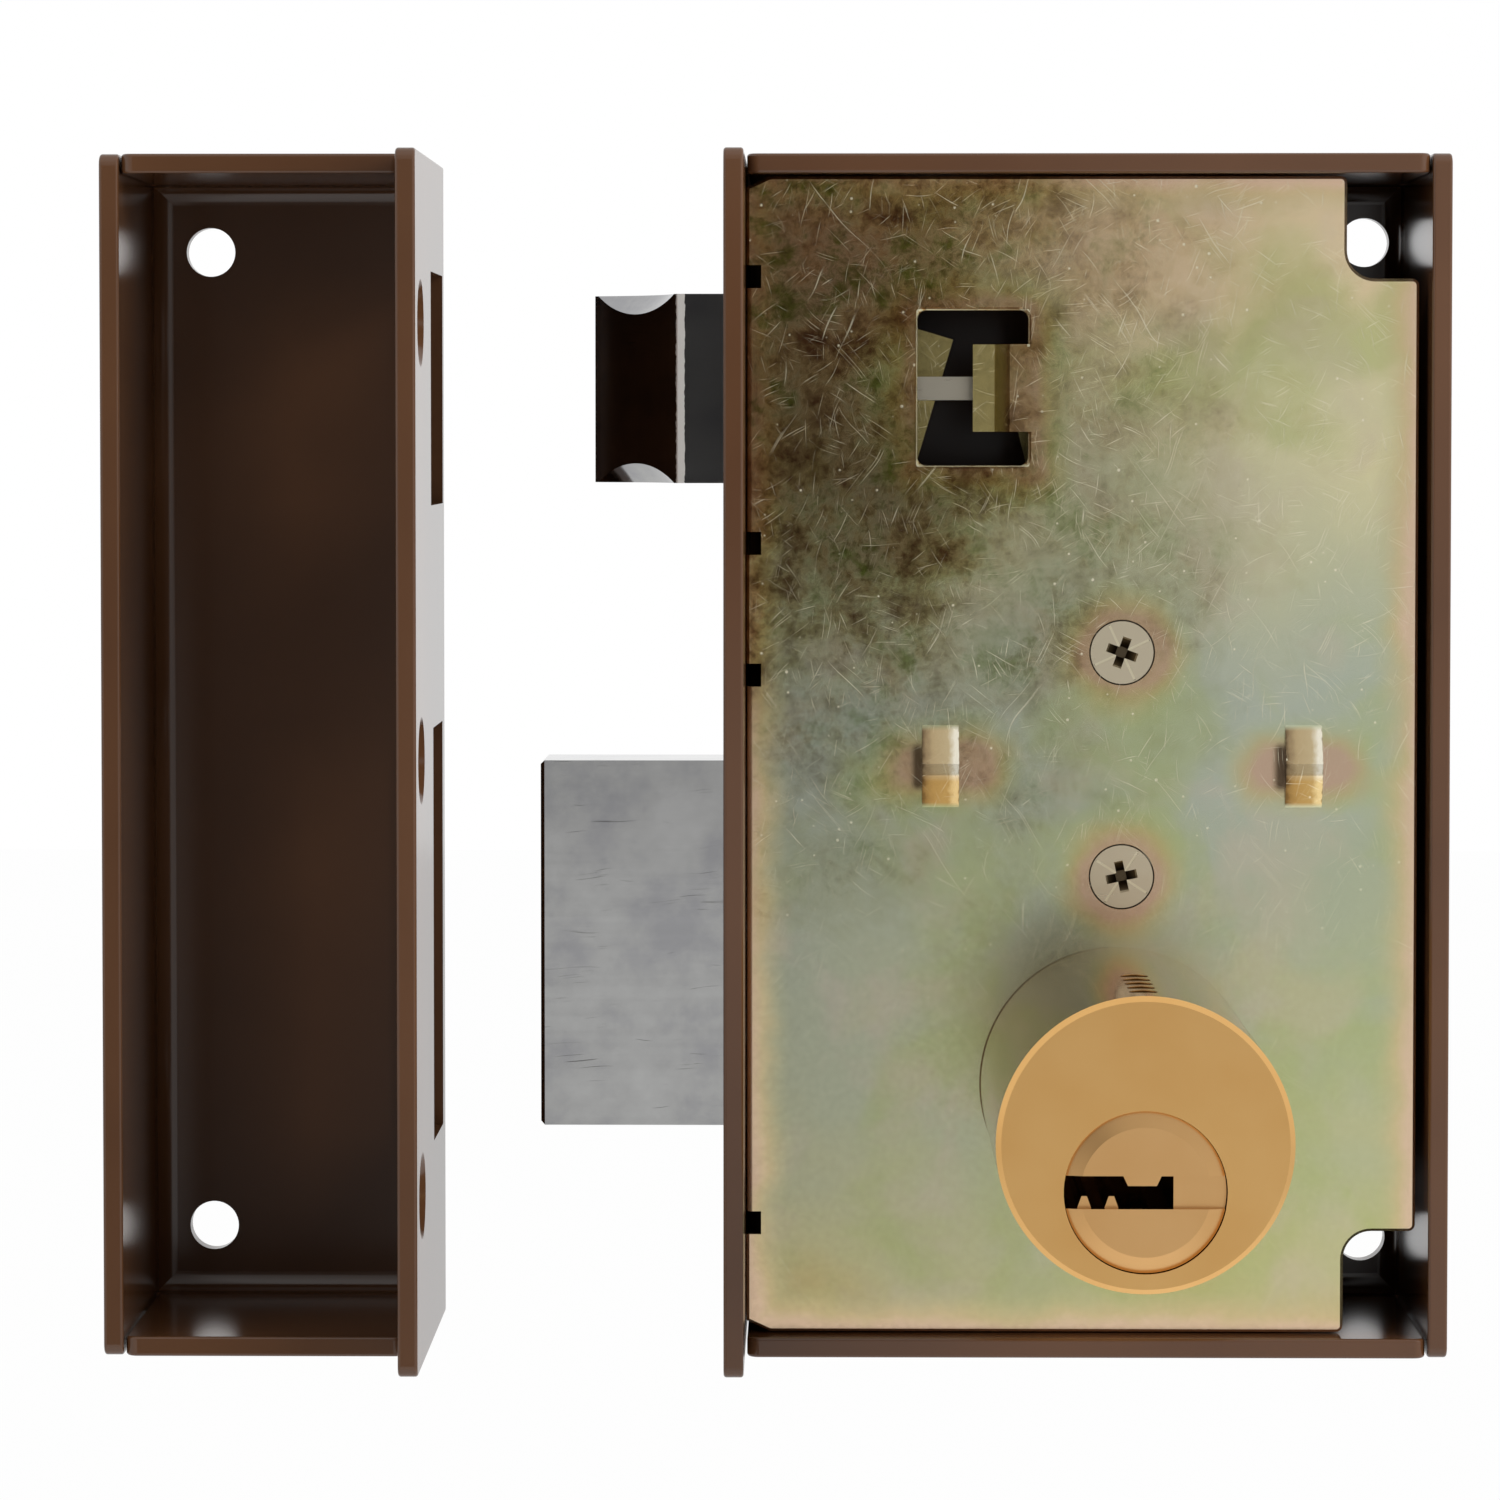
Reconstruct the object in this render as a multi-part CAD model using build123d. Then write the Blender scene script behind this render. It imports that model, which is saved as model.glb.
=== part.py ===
from build123d import *

import os
from math import asin, cos, degrees, hypot, pi, radians, sin, sqrt, tan

# A surface-mounted rim lock: folded steel case, sprung latch, deadbolt thrown by a rack and pinion, round key
# cylinder, room-side pull and turn knob, and the strike box that stands beside it.
# Millimetres. X runs from the strike to the lock, Z is up and Y runs from the door into the room.
# The door face is the plane Y = 0, and the cylinder axis crosses it at the origin.

# Folded case
sheet = 2.0
bend_inside = 2.0
rim_corner = 1.2
rim_edge = 0.3
flap_gap = 0.2
case_width = 73.5
case_height = 122.5
case_depth = 32.0
backset = 40.0
middle_above_axis = 33.5
lap = 12.5

bend_outside = bend_inside + sheet
case_left = -backset
case_right = case_left + case_width
case_middle = middle_above_axis
case_foot = case_middle - case_height / 2
case_top = case_foot + case_height
floor_inside = case_depth - sheet
forend_inside = case_left + sheet

# Holes for the fixing screws
face_hole = 5.2
face_hole_inset = 5.85
face_hole_end_inset = 8.0
lap_hole = 5.2
lap_countersink = 8.85
lap_hole_setback = 7.3
lap_hole_spacing = 44.0

# Strike box
strike_gap = 30.5
strike_width = 33.0
strike_hole_inset = 8.0
strike_hole_end_inset = 9.0
strike_latch_room = 2.3
strike_latch_near = 0.75
strike_latch_far = 4.0
strike_bolt_under = 1.6
strike_bolt_over = 3.4
strike_bolt_near = 0.6
strike_bolt_far = 3.0

strike_right = case_left - strike_gap
strike_left = strike_right - strike_width

# Spring latch
latch_above_axis = 71.05
latch_height = 19.5
latch_thick = 12.5
latch_near = 9.75
latch_reach = 14.0
latch_inside = 10.0
latch_travel = 13.5
latch_ridge_back = 8.9
latch_tip_thick = 2.0
latch_scallop_radius = 11.0
latch_scallop_deep = 2.0
latch_scallop_place_share = 0.5

latch_far = latch_near + latch_thick
latch_foot = latch_above_axis - latch_height / 2
latch_top = latch_foot + latch_height
latch_tip = case_left - latch_reach
latch_rear = case_left + latch_inside
latch_middle = (latch_near + latch_far) / 2

# Deadbolt
bolt_above_axis = 13.5
bolt_height = 38.0
bolt_thick = 10.0
bolt_near = 12.0
bolt_reach = 19.4
bolt_inside = 10.0
bolt_edge = 0.4

bolt_far = bolt_near + bolt_thick
bolt_foot = bolt_above_axis - bolt_height / 2
bolt_top = bolt_foot + bolt_height
bolt_tip = case_left - bolt_reach
bolt_rear = case_left + bolt_inside
bolt_middle = (bolt_near + bolt_far) / 2

# Running and seating clearances
slide_play = 0.3
turn_play = 0.06
stop_gap = 0.3
overrun = 1.0

# Mechanism plate
plate_near = 3.0
plate_sheet = 1.5
plate_bend_inside = 0.2
plate_bend_outside = 0.6
plate_left_gap = 0.1
plate_right_gap = 1.0
plate_end_gap = 0.2
plate_corner = 0.7
plate_edge = 0.3
forend_corner_wide = 2.4
forend_corner_high = 1.1
notch_width = 7.35
notch_height = 10.4
notch_fillet = 2.9
relief_depth = 1.5
relief_width = 2.35
latch_flange_under = 4.9
latch_flange_over = 0.4
bolt_flange_under = 7.7
bolt_flange_over = 8.1
flange_short = 3.0
window_left = 20.5
window_width = 11.3
window_height = 15.8
window_corner = 0.9
tongue_height = 8.9
tongue_length = 5.6
tongue_flat = 2.2
tongue_ramp = 1.5
tongue_joggle = 1.6
bridge_width = 3.75
bridge_height = 8.4
bridge_rise = 1.7
bridge_above_axis = 32.5
bridge_centres = (-18.1, 18.9)
bridge_ridge_shares = (0.4, 0.54)

plate_far = plate_near + plate_sheet
plate_left = forend_inside + plate_left_gap
plate_right = case_right - sheet - plate_right_gap
plate_foot = case_foot + sheet + plate_end_gap
plate_top = case_top - sheet - plate_end_gap

# Posts between the case face and the plate, and the screws into them
post_x = 0.4
upper_post = 44.1
lower_post = 21.2
post_diameter = 7.0
post_shoulder = 10.0
screw_head = 6.4
screw_shank = 3.6
screw_length = 10.0
screw_sink = (screw_head - screw_shank) / 2
recess_span = 3.2
recess_width = 0.9
recess_depth = 1.3
recess_turns = (-20.0, 12.0)
tick_width = 0.25
tick_depth = 0.15

# Key cylinder
barrel_diameter = 28.0
barrel_reach = 44.6
barrel_edge = 0.5
plug_diameter = 15.2
plug_drop = 4.4
plug_recess = 0.1
plug_chamfer_radial = 1.5
plug_chamfer_deep = 0.4
plug_neck_diameter = 11.0
plug_neck_length = 5.2
plate_neck_play = 0.5
groove_depth = 0.9
keyway_height = 3.1
keyway_right = 2.65
keyway_back_wall = 6.0
lower_rib_places = (-5.7, -3.15)
lower_rib_base = 1.3
lower_rib_crest = 0.5
lower_rib_height = 1.1
upper_rib_place = -0.25
upper_rib_base = 3.7
upper_rib_crest = 2.7
upper_rib_height = 1.05
chamber_count = 5
chamber_first = 4.5
chamber_pitch = 3.6
chamber_diameter = 2.6
chamber_play = 0.05
key_pin_point = 0.9
key_pin_short = 0.2
key_pin_tip_share = 0.33
driver_lift = 0.15
driver_length = 3.6
chamber_plug_length = 2.2
chamber_plug_sunk = 0.2
pin_spring_wire = 0.4
pin_spring_turns = 3
barrel_screw_out = 9.0
barrel_screw_up = 5.0
barrel_screw_shank = 3.6
barrel_screw_head = 6.6
barrel_screw_head_high = 2.2
barrel_screw_bite = 9.0

barrel_face = -barrel_reach
plug_axis = -plug_drop
plug_face = barrel_face + plug_recess
plug_radius = plug_diameter / 2
neck_end = plate_near + plug_neck_length
clip_thick = 0.8
clip_wall = 2.0
clip_groove = 0.6
clip_play = 0.1
clip_opening = 60.0
plug_clip_near = plate_far + stop_gap

# Tailpiece and the drive behind the plate
tail_width = 6.0
tail_thick = 2.0
tail_bite = 3.0
tail_play = 0.2
hub_diameter = 10.0
hub_near_gap = 1.0
pinion_width = 5.0
pinion_teeth = 8
pitch_radius = 3.0
pressure_angle = 25.0
pinion_addendum_share = 0.9
rack_addendum_share = 0.7
root_play = 0.2
backlash = 0.14
flank_steps = 4
root_share = 0.8
rack_teeth_spare = 2
shaft_diameter = 6.0
shaft_flat = 2.2
bush_diameter = 11.0
bush_flange = 15.0
bush_flange_thick = 1.2
bush_proud = 0.6

module = 2 * pitch_radius / pinion_teeth
tooth_pitch = pi * module
bolt_travel = pinion_teeth * tooth_pitch
pitch_line = plug_axis + pitch_radius
rack_tip = pitch_line - rack_addendum_share * module
rack_root = pitch_line + pinion_addendum_share * module + root_play

# Deadbolt tail: a steel plate in a slot of the bolt, with the rack on its lower edge
bolt_tail_thick = 3.0
bolt_tail_bite = 6.0
bolt_tail_top_margin = 5.0
bolt_tail_past_post = 4.0
arm_width = 4.0
arm_above_post = 7.0
stud_diameter = 4.0
stud_above_post = 5.0
pin_diameter = 3.0
pin_inset = 3.0
bolt_pin_share = 0.25
stud_neck = 2.5
slot_end_share = 0.98

bolt_tail_near = bolt_middle - bolt_tail_thick / 2
bolt_tail_far = bolt_tail_near + bolt_tail_thick
tail_slot_half = post_diameter / 2 + slide_play
pinion_near = bolt_middle - pinion_width / 2
pinion_far = pinion_near + pinion_width

# Latch tail, rod, spring and lever
latch_tail_thick = 2.0
latch_tail_bite = 6.0
latch_tail_length = 13.5
latch_tail_margin = 2.5
latch_tail_foot_taper = 3.7
latch_tail_top_taper = 7.0
latch_tail_top_drop = 2.1
latch_pin_share = 0.2
spring_lug_wide = 2.0
spring_drop = 15.0
spring_diameter = 6.4
spring_wire = 0.8
spring_turns = 11
spring_end_gap = 0.3
spring_lug_half = 4.5
anchor_x = 13.0
anchor_wide = 8.0
anchor_sheet = 2.0
anchor_foot = 10.0
rod_thick = 2.4
rod_depth = 8.0
rod_past_stem = 5.0
stem_diameter = 5.0
lever_thick = 2.0
lever_gap = 0.6
lever_eye = 13.0
lever_width = 8.5
lever_past_stem = 4.0
lever_slot_play = 0.3
lever_end_play = 0.2

latch_tail_far = latch_middle + latch_tail_thick * 1.5
latch_tail_near = latch_tail_far - latch_tail_thick
rod_far = latch_tail_near
rod_near = rod_far - rod_depth
lever_near = latch_tail_far + lever_gap
lever_far = lever_near + lever_thick
lever_length = latch_above_axis - upper_post
stem_x = post_x - latch_travel / 2
lever_lean = degrees(asin(latch_travel / 2 / hypot(latch_travel / 2, lever_length)))
spring_z = latch_above_axis - spring_drop
spring_left = latch_rear + latch_tail_thick * 2 + spring_lug_wide
spring_y = rod_far - spring_diameter / 2
lever_clip_near = lever_near - lever_end_play - clip_thick
lever_left_side = lever_width / 2 / cos(radians(lever_lean))
lever_edge_at_stud = post_x - stud_above_post * tan(radians(lever_lean)) - lever_left_side
stud_x = lever_edge_at_stud - stop_gap - stud_diameter / 2 - bolt_travel

# Room-side controls
knob_gap = 0.4
pull_wide = 26.0
pull_high = 14.0
pull_thick = 9.0
pull_edge = 2.5
pull_top_edge = 1.5
knob_diameter = 26.0
knob_base_thick = 5.0
knob_base_edge = 1.5
grip_high = 15.0
grip_thick = 9.0
grip_edge = 2.0
grip_top_edge = 1.2
knob_screw_shank = 3.0
knob_screw_head = 5.6
knob_screw_head_high = 2.0
knob_screw_length = 14.0
knob_screw_sunk = 3.0

pull_near = case_depth + knob_gap
knob_near = case_depth + bush_proud + knob_gap
knob_base_far = knob_near + knob_base_thick
grip_far = knob_base_far + grip_high
turn_clip_near = floor_inside - bush_flange_thick - stop_gap - clip_thick - 2 * clip_play


def block(x_from, x_to, y_from, y_to, z_from, z_to):
    """Box between two values of each coordinate."""
    size = Box(x_to - x_from, y_to - y_from, z_to - z_from)
    return Pos((x_from + x_to) / 2, (y_from + y_to) / 2, (z_from + z_to) / 2) * size


def slab(outline, near, far):
    """Solid between two depths from an outline drawn in X and Z."""
    return extrude(Plane.XZ.offset(-near) * outline, -(far - near))


def rod_along_y(radius, near, far, x=0, z=0):
    """Round rod along the depth."""
    return slab(Pos(x, z) * Circle(radius), near, far)


def cone_along_y(near_radius, far_radius, near, far, x=0, z=0):
    """Cone along the depth, for countersinks and points."""
    cone = Cone(near_radius, far_radius, far - near)
    return Pos(x, (near + far) / 2, z) * Rot(-90, 0, 0) * cone


def rounded_bar(x_from, x_to, z_from, z_to, radius):
    """Outline with rounded corners, drawn in X and Z."""
    bar = RectangleRounded(x_to - x_from, z_to - z_from, radius)
    return Pos((x_from + x_to) / 2, (z_from + z_to) / 2) * bar


def edges_at(solid, axis, near):
    """Edges that run along an axis and lie at one depth."""
    return [e for e in solid.edges().filter_by(axis) if abs(e.center().Y - near) < rim_corner / 4]


def pressed_tray(left, right, foot, top, near, far, bend):
    """Block with its far edges rounded: the outside or the inside of a pressed tray."""
    solid = block(left, right, near, far, foot, top)
    return fillet(solid.faces().sort_by(Axis.Y)[-1].edges(), bend)


def folded_tray(left, right, lap_left, lap_right):
    """Tray of one sheet, closed at the bends: side flaps of full height, end flaps between them."""
    over = overrun
    tray = pressed_tray(left, right, case_foot, case_top, 0, case_depth, bend_outside)
    for x, reach in ((left, lap_left), (right - sheet, lap_right)):
        if reach:
            tray += block(x, x + sheet, -reach, case_depth / 2, case_foot, case_top)
    inner_left = left + sheet
    inner_right = right - sheet
    tray -= pressed_tray(inner_left, inner_right, case_foot + sheet, case_top - sheet, -over, floor_inside,
                         bend_inside)
    for x in (inner_left, inner_right - flap_gap):
        for z_from in (case_foot - over, case_top - sheet - over):
            z_to = z_from + sheet + 2 * over
            tray -= block(x, x + flap_gap, -over, case_depth - bend_outside, z_from, z_to)
    for near in {-lap_left, -lap_right}:
        corners = [e for e in edges_at(tray, Axis.X, near) if e.length < sheet + flap_gap / 2
                   and abs(abs(e.center().Z - case_middle) - case_height / 2) < sheet / 2]
        tray = fillet(corners, rim_corner)
    ends = [e for e in edges_at(tray, Axis.Z, 0)
            if e.length < sheet + flap_gap / 2 and left + sheet < e.center().X < right - sheet]
    tray = fillet(ends, rim_corner)
    return round_rim(tray, left, right, lap_left, lap_right)


def round_rim(tray, left, right, lap_left, lap_right):
    """Takes the sharpness off the long edges of each flap's rim."""
    sides = [e for near in {-lap_left, -lap_right} for e in edges_at(tray, Axis.Z, near)
             if e.length > case_width]
    ends = [e for e in edges_at(tray, Axis.X, 0) if e.length > sheet + flap_gap]
    return fillet(sides + ends, rim_edge)


def lap_holes(outer_face, inward):
    """Three countersunk screw holes through a flap that stands across X."""
    holes = Part()
    sink = (lap_countersink - lap_hole) / 2
    for step in (-1, 0, 1):
        place = Pos(outer_face, -lap + lap_hole_setback, case_middle + step * lap_hole_spacing)
        through = Rot(0, 90 * inward, 0) * Cylinder(lap_hole / 2, 4 * sheet)
        cone = Rot(0, 90 * inward, 0) * Pos(0, 0, sink / 2) * Cone(lap_countersink / 2, lap_hole / 2, sink)
        holes += place * (through + cone)
    return holes


def face_holes(x, spacing):
    """Two screw holes through the far face."""
    holes = Part()
    for side in (-1, 1):
        z = case_middle + side * spacing / 2
        holes += rod_along_y(face_hole / 2, floor_inside - overrun, case_depth + overrun, x, z)
    return holes


def latch_passage(x_from, x_to):
    play = slide_play
    return block(x_from, x_to, latch_near - play, latch_far + play, latch_foot - play, latch_top + play)


def bolt_passage(x_from, x_to):
    play = slide_play
    return block(x_from, x_to, bolt_near - play, bolt_far + play, bolt_foot - play, bolt_top + play)


def case_shell():
    """Folded case. The left flap is the forend, which laps the door's edge and lets both bolts through."""
    shell = folded_tray(case_left, case_right, lap, 0)
    shell -= lap_holes(case_left, 1)
    shell -= face_holes(case_right - face_hole_inset, case_height - 2 * face_hole_end_inset)
    shell -= latch_passage(case_left - overrun, forend_inside + overrun)
    shell -= bolt_passage(case_left - overrun, forend_inside + overrun)
    half = stem_diameter / 2 + slide_play
    reach = half + stop_gap
    slot = rounded_bar(stem_x - reach, stem_x + latch_travel + reach, latch_above_axis - half,
                       latch_above_axis + half, stem_diameter / 2)
    shell -= slab(slot, floor_inside - overrun, case_depth + overrun)
    shell -= rod_along_y(bush_diameter / 2, floor_inside - overrun, case_depth + overrun, 0, plug_axis)
    return shell


def strike_box():
    """Folded keeper. Its right flap laps the jamb and has an opening for each bolt."""
    box = folded_tray(strike_left, strike_right, 0, lap)
    box -= lap_holes(strike_right, -1)
    box -= face_holes(strike_left + strike_hole_inset, case_height - 2 * strike_hole_end_inset)
    inner = strike_right - sheet - overrun
    outer = strike_right + overrun
    box -= block(inner, outer, latch_near - strike_latch_near, latch_far + strike_latch_far,
                 latch_foot - strike_latch_room, latch_top + strike_latch_room)
    box -= block(inner, outer, bolt_near - strike_bolt_near, bolt_far + strike_bolt_far,
                 bolt_foot - strike_bolt_under, bolt_top + strike_bolt_over)
    return box


def plate_outline():
    """Plate with its two right-hand corners notched, so that the case screws pass."""
    points = [
        (plate_left, plate_foot + forend_corner_high),
        (plate_left + forend_corner_wide, plate_foot),
        (plate_right - notch_width, plate_foot),
        (plate_right - notch_width, plate_foot + notch_height),
        (plate_right, plate_foot + notch_height),
        (plate_right, plate_top - notch_height),
        (plate_right - notch_width, plate_top - notch_height),
        (plate_right - notch_width, plate_top),
        (plate_left + forend_corner_wide, plate_top),
        (plate_left, plate_top - forend_corner_high),
    ]
    outline = make_face(Polyline(*points, close=True))
    inner = [v for v in outline.vertices()
             if abs(v.X - (plate_right - notch_width)) < plate_corner
             and min(abs(v.Y - plate_foot), abs(v.Y - plate_top)) > plate_corner]
    outline = fillet(inner, notch_fillet)
    sharp = [v for v in outline.vertices()
             if min(abs(v.Y - plate_foot), abs(v.Y - plate_top)) < plate_corner
             or abs(v.X - plate_right) < plate_corner and abs(v.Y - case_middle) > 0
             and (abs(v.Y - (plate_foot + notch_height)) < plate_corner
                  or abs(v.Y - (plate_top - notch_height)) < plate_corner)]
    return fillet(sharp, plate_corner)


def plate_flange(z_from, z_to):
    """Turned-down flange behind the forend."""
    x_far = plate_left + 2 * plate_sheet
    flange_end = floor_inside - flange_short
    points = [
        (plate_left, plate_near),
        (x_far, plate_near),
        (x_far, plate_far),
        (plate_left + plate_sheet, plate_far),
        (plate_left + plate_sheet, flange_end),
        (plate_left, flange_end),
    ]
    section = make_face(Polyline(*points, close=True))
    corner = [v for v in section.vertices()
              if abs(v.X - plate_left) + abs(v.Y - plate_near) < plate_sheet / 2]
    section = fillet(corner, plate_bend_outside)
    inner = [v for v in section.vertices()
             if abs(v.X - plate_left - plate_sheet) + abs(v.Y - plate_far) < plate_sheet / 4]
    section = fillet(inner, plate_bend_inside)
    return Pos(0, 0, z_from) * extrude(section, z_to - z_from)


def plate_tongue():
    """Joggled tongue that stands into the window from its right edge."""
    root = -window_left + window_width
    ramp_start = root - tongue_length + tongue_flat + tongue_ramp
    ramp_end = root - tongue_length + tongue_flat
    tip = root - tongue_length
    low = plate_near + tongue_joggle
    points = [
        (root + plate_sheet, plate_near),
        (ramp_start, plate_near),
        (ramp_end, low),
        (tip, low),
        (tip, low + plate_sheet),
        (ramp_end, low + plate_sheet),
        (ramp_start, plate_far),
        (root + plate_sheet, plate_far),
    ]
    section = make_face(Polyline(*points, close=True))
    return Pos(0, 0, latch_above_axis - tongue_height / 2) * extrude(section, tongue_height)


def plate_bridge(x):
    """Lanced bridge: a strip that stays joined at its ends and is pressed out like a roof."""
    foot = bridge_above_axis - bridge_height / 2
    top = foot + bridge_height
    ridge_low = foot + bridge_height * bridge_ridge_shares[0]
    ridge_high = foot + bridge_height * bridge_ridge_shares[1]
    points = [
        (foot, plate_near),
        (ridge_low, plate_near - bridge_rise),
        (ridge_high, plate_near - bridge_rise),
        (top, plate_near),
        (top, plate_far),
        (ridge_high, plate_far - bridge_rise),
        (ridge_low, plate_far - bridge_rise),
        (foot, plate_far),
    ]
    plane = Plane(origin=(x + bridge_width / 2, 0, 0), x_dir=(0, 0, 1), z_dir=(-1, 0, 0))
    return extrude(plane * make_face(Polyline(*points, close=True)), bridge_width)


def mechanism_plate():
    """Zinc-plated plate that closes the case towards the door and carries the cylinder."""
    plate = slab(plate_outline(), plate_near, plate_far)
    window = rounded_bar(-window_left, -window_left + window_width, latch_above_axis - window_height / 2,
                         latch_above_axis + window_height / 2, window_corner)
    plate -= slab(window, plate_near - overrun, plate_far + overrun)
    plate = chamfer(plate.faces().sort_by(Axis.Y)[0].edges(), plate_edge)
    zones = (
        (latch_foot - latch_flange_under, latch_top + latch_flange_over),
        (bolt_foot - bolt_flange_under, bolt_top + bolt_flange_over),
    )
    for low, high in zones:
        plate -= block(plate_left - overrun, plate_left + plate_bend_outside, plate_near - overrun,
                       plate_far + overrun, low, high)
        for foot in (low - relief_width, high):
            plate -= block(plate_left - overrun, plate_left + relief_depth, plate_near - overrun,
                           plate_far + overrun, foot, foot + relief_width)
        plate += plate_flange(low, high)
    latch_gate = latch_passage(plate_left - overrun, plate_left + plate_sheet + overrun)
    plate -= latch_gate + Pos(0, 0, latch_flange_over) * latch_gate
    plate -= bolt_passage(plate_left - overrun, plate_left + plate_sheet + overrun)

    plate += plate_tongue()
    for x in bridge_centres:
        slot = rounded_bar(x - bridge_width / 2, x + bridge_width / 2, bridge_above_axis - bridge_height / 2,
                           bridge_above_axis + bridge_height / 2, plate_corner / 2)
        plate -= slab(slot, plate_near - overrun, plate_far + overrun)
        plate += plate_bridge(x)
    for z in (upper_post, lower_post):
        plate -= cone_along_y(screw_head / 2, screw_shank / 2, plate_near, plate_near + screw_sink, post_x, z)
        plate -= rod_along_y(screw_shank / 2 + turn_play, plate_near, plate_far + overrun, post_x, z)
    neck_hole = plug_neck_diameter / 2 + plate_neck_play
    plate -= rod_along_y(neck_hole, plate_near - overrun, plate_far + overrun, 0, plug_axis)
    for x in (-barrel_screw_out, barrel_screw_out):
        plate -= rod_along_y(barrel_screw_shank / 2 + turn_play, plate_near - overrun, plate_far + overrun,
                             x, barrel_screw_up)
    return plate


def post(z):
    """Turned post, stepped where the lever turns on it, and bored for the plate screw."""
    body = rod_along_y(post_diameter / 2, plate_far, floor_inside, post_x, z)
    body += rod_along_y(post_shoulder / 2, lever_far + lever_end_play, floor_inside, post_x, z)
    depth = screw_length + overrun
    return body - rod_along_y(screw_shank / 2 + turn_play, plate_far, plate_far + depth, post_x, z)


def plate_posts():
    """The upper post has a groove for the lever's clip."""
    upper = post(upper_post)
    groove_far = lever_near - lever_end_play
    radius = post_diameter / 2
    groove = rod_along_y(radius + overrun, lever_clip_near, groove_far, post_x, upper_post)
    groove -= rod_along_y(radius - clip_groove, lever_clip_near, groove_far, post_x, upper_post)
    return Compound(children=[upper - groove, post(lower_post)])


def ring(inner_radius, outer_radius, near, far, x, z):
    """Retaining clip: a ring with an opening at its foot."""
    clip = rod_along_y(outer_radius, near, far, x, z) - rod_along_y(inner_radius, near, far, x, z)
    half = outer_radius * sin(radians(clip_opening / 2))
    return clip - block(x - half, x + half, near, far, z - outer_radius - overrun, z)


def lever_clip():
    bore = post_diameter / 2 - clip_groove + clip_play
    near = lever_clip_near + clip_play
    return ring(bore, bore + clip_wall, near, lever_near - lever_end_play - clip_play, post_x, upper_post)


def cross_recess(near, span, width, depth):
    """Cross recess, drawn in to a point at its floor, with a shallow tick between each pair of arms."""
    arms = Part()
    for turn in (0, 90):
        arm = Rectangle(span, width)
        floor = Rectangle(span / 3, width)
        lower = Plane.XZ.offset(-(near + depth)) * Rot(0, 0, turn) * floor
        arms += loft([Plane.XZ.offset(-near) * Rot(0, 0, turn) * arm, lower])
        tick = Rot(0, 0, turn + 45) * Rectangle(screw_head - tick_width, tick_width)
        arms += slab(tick, near - overrun, near + tick_depth)
    return arms


def plate_screws():
    """Countersunk screws through the plate into the posts."""
    screws = []
    for z, turn in zip((upper_post, lower_post), recess_turns):
        screw = cone_along_y(screw_head / 2, screw_shank / 2, plate_near, plate_near + screw_sink, post_x, z)
        screw += rod_along_y(screw_shank / 2, plate_near + recess_depth, plate_near + screw_length, post_x, z)
        recess = Rot(0, -turn, 0) * cross_recess(plate_near, recess_span, recess_width, recess_depth)
        screws.append(screw - Pos(post_x, 0, z) * recess)
    return Compound(children=screws)


def chamber_depths():
    """Depths of the pin chambers, counted from the barrel's face."""
    return [barrel_face + chamber_first + i * chamber_pitch for i in range(chamber_count)]


def upright(radius, foot, top, depth):
    """Round rod along Z on the middle plane of the cylinder."""
    return Pos(0, depth, (foot + top) / 2) * Cylinder(radius, top - foot)


def cylinder_body():
    """Barrel with the plug's bore set low, and a row of pin chambers above it."""
    barrel = rod_along_y(barrel_diameter / 2, barrel_face, plate_near)
    front = barrel.edges().group_by(Axis.Y)[0]
    barrel = chamfer(front, barrel_edge)
    barrel -= rod_along_y(plug_radius + turn_play, barrel_face, plate_near, 0, plug_axis)
    bore = chamber_diameter / 2 + chamber_play
    for depth in chamber_depths():
        barrel -= upright(bore, plug_axis + plug_radius / 2, barrel_diameter / 2, depth)
    for x in (-barrel_screw_out, barrel_screw_out):
        barrel -= rod_along_y(barrel_screw_shank / 2 + turn_play, plate_near - barrel_screw_bite - overrun,
                              plate_near, x, barrel_screw_up)
    return barrel


def keyway_section():
    """Keyway with two ribs on its floor and one on its roof, drawn in X and Z about the plug's axis."""
    half = keyway_height / 2
    width = keyway_right + plug_diameter
    section = Pos(keyway_right - width / 2, 0) * Rectangle(width, keyway_height)
    for x in lower_rib_places:
        foot = lower_rib_base / 2
        crest = lower_rib_crest / 2
        rib = Polyline((x - foot, -half), (x + foot, -half), (x + crest, lower_rib_height - half),
                       (x - crest, lower_rib_height - half), close=True)
        section -= make_face(rib)
    foot = upper_rib_base / 2
    crest = upper_rib_crest / 2
    x = upper_rib_place
    rib = Polyline((x - foot, half), (x + foot, half), (x + crest, half - upper_rib_height),
                   (x - crest, half - upper_rib_height), close=True)
    return section - make_face(rib)


def cylinder_plug():
    """Plug with a chamfered face, a shallow groove across it, the keyway and the pin bores."""
    plug = rod_along_y(plug_radius, plug_face, plate_near, 0, plug_axis)
    front = plug.edges().group_by(Axis.Y)[0]
    plug = chamfer(front, plug_chamfer_deep, plug_chamfer_radial)
    plug += rod_along_y(plug_neck_diameter / 2, plate_near, neck_end, 0, plug_axis)
    low = plug_axis - keyway_height / 2
    high = plug_axis + keyway_height / 2
    plug -= block(-plug_radius, plug_radius, plug_face, plug_face + groove_depth, low, high)
    keyway = Pos(0, plug_axis) * keyway_section()
    plug -= slab(keyway, plug_face, plate_near - keyway_back_wall)
    bore = chamber_diameter / 2 + chamber_play
    for depth in chamber_depths():
        plug -= upright(bore, plug_axis, plug_axis + plug_radius + overrun, depth)
    plug -= clip_groove_cut(plug_neck_diameter / 2, plug_clip_near, 0, plug_axis)
    plug -= block(-tail_width / 2, tail_width / 2, neck_end - tail_bite, neck_end,
                  plug_axis - tail_thick / 2, plug_axis + tail_thick / 2)
    return plug


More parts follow.
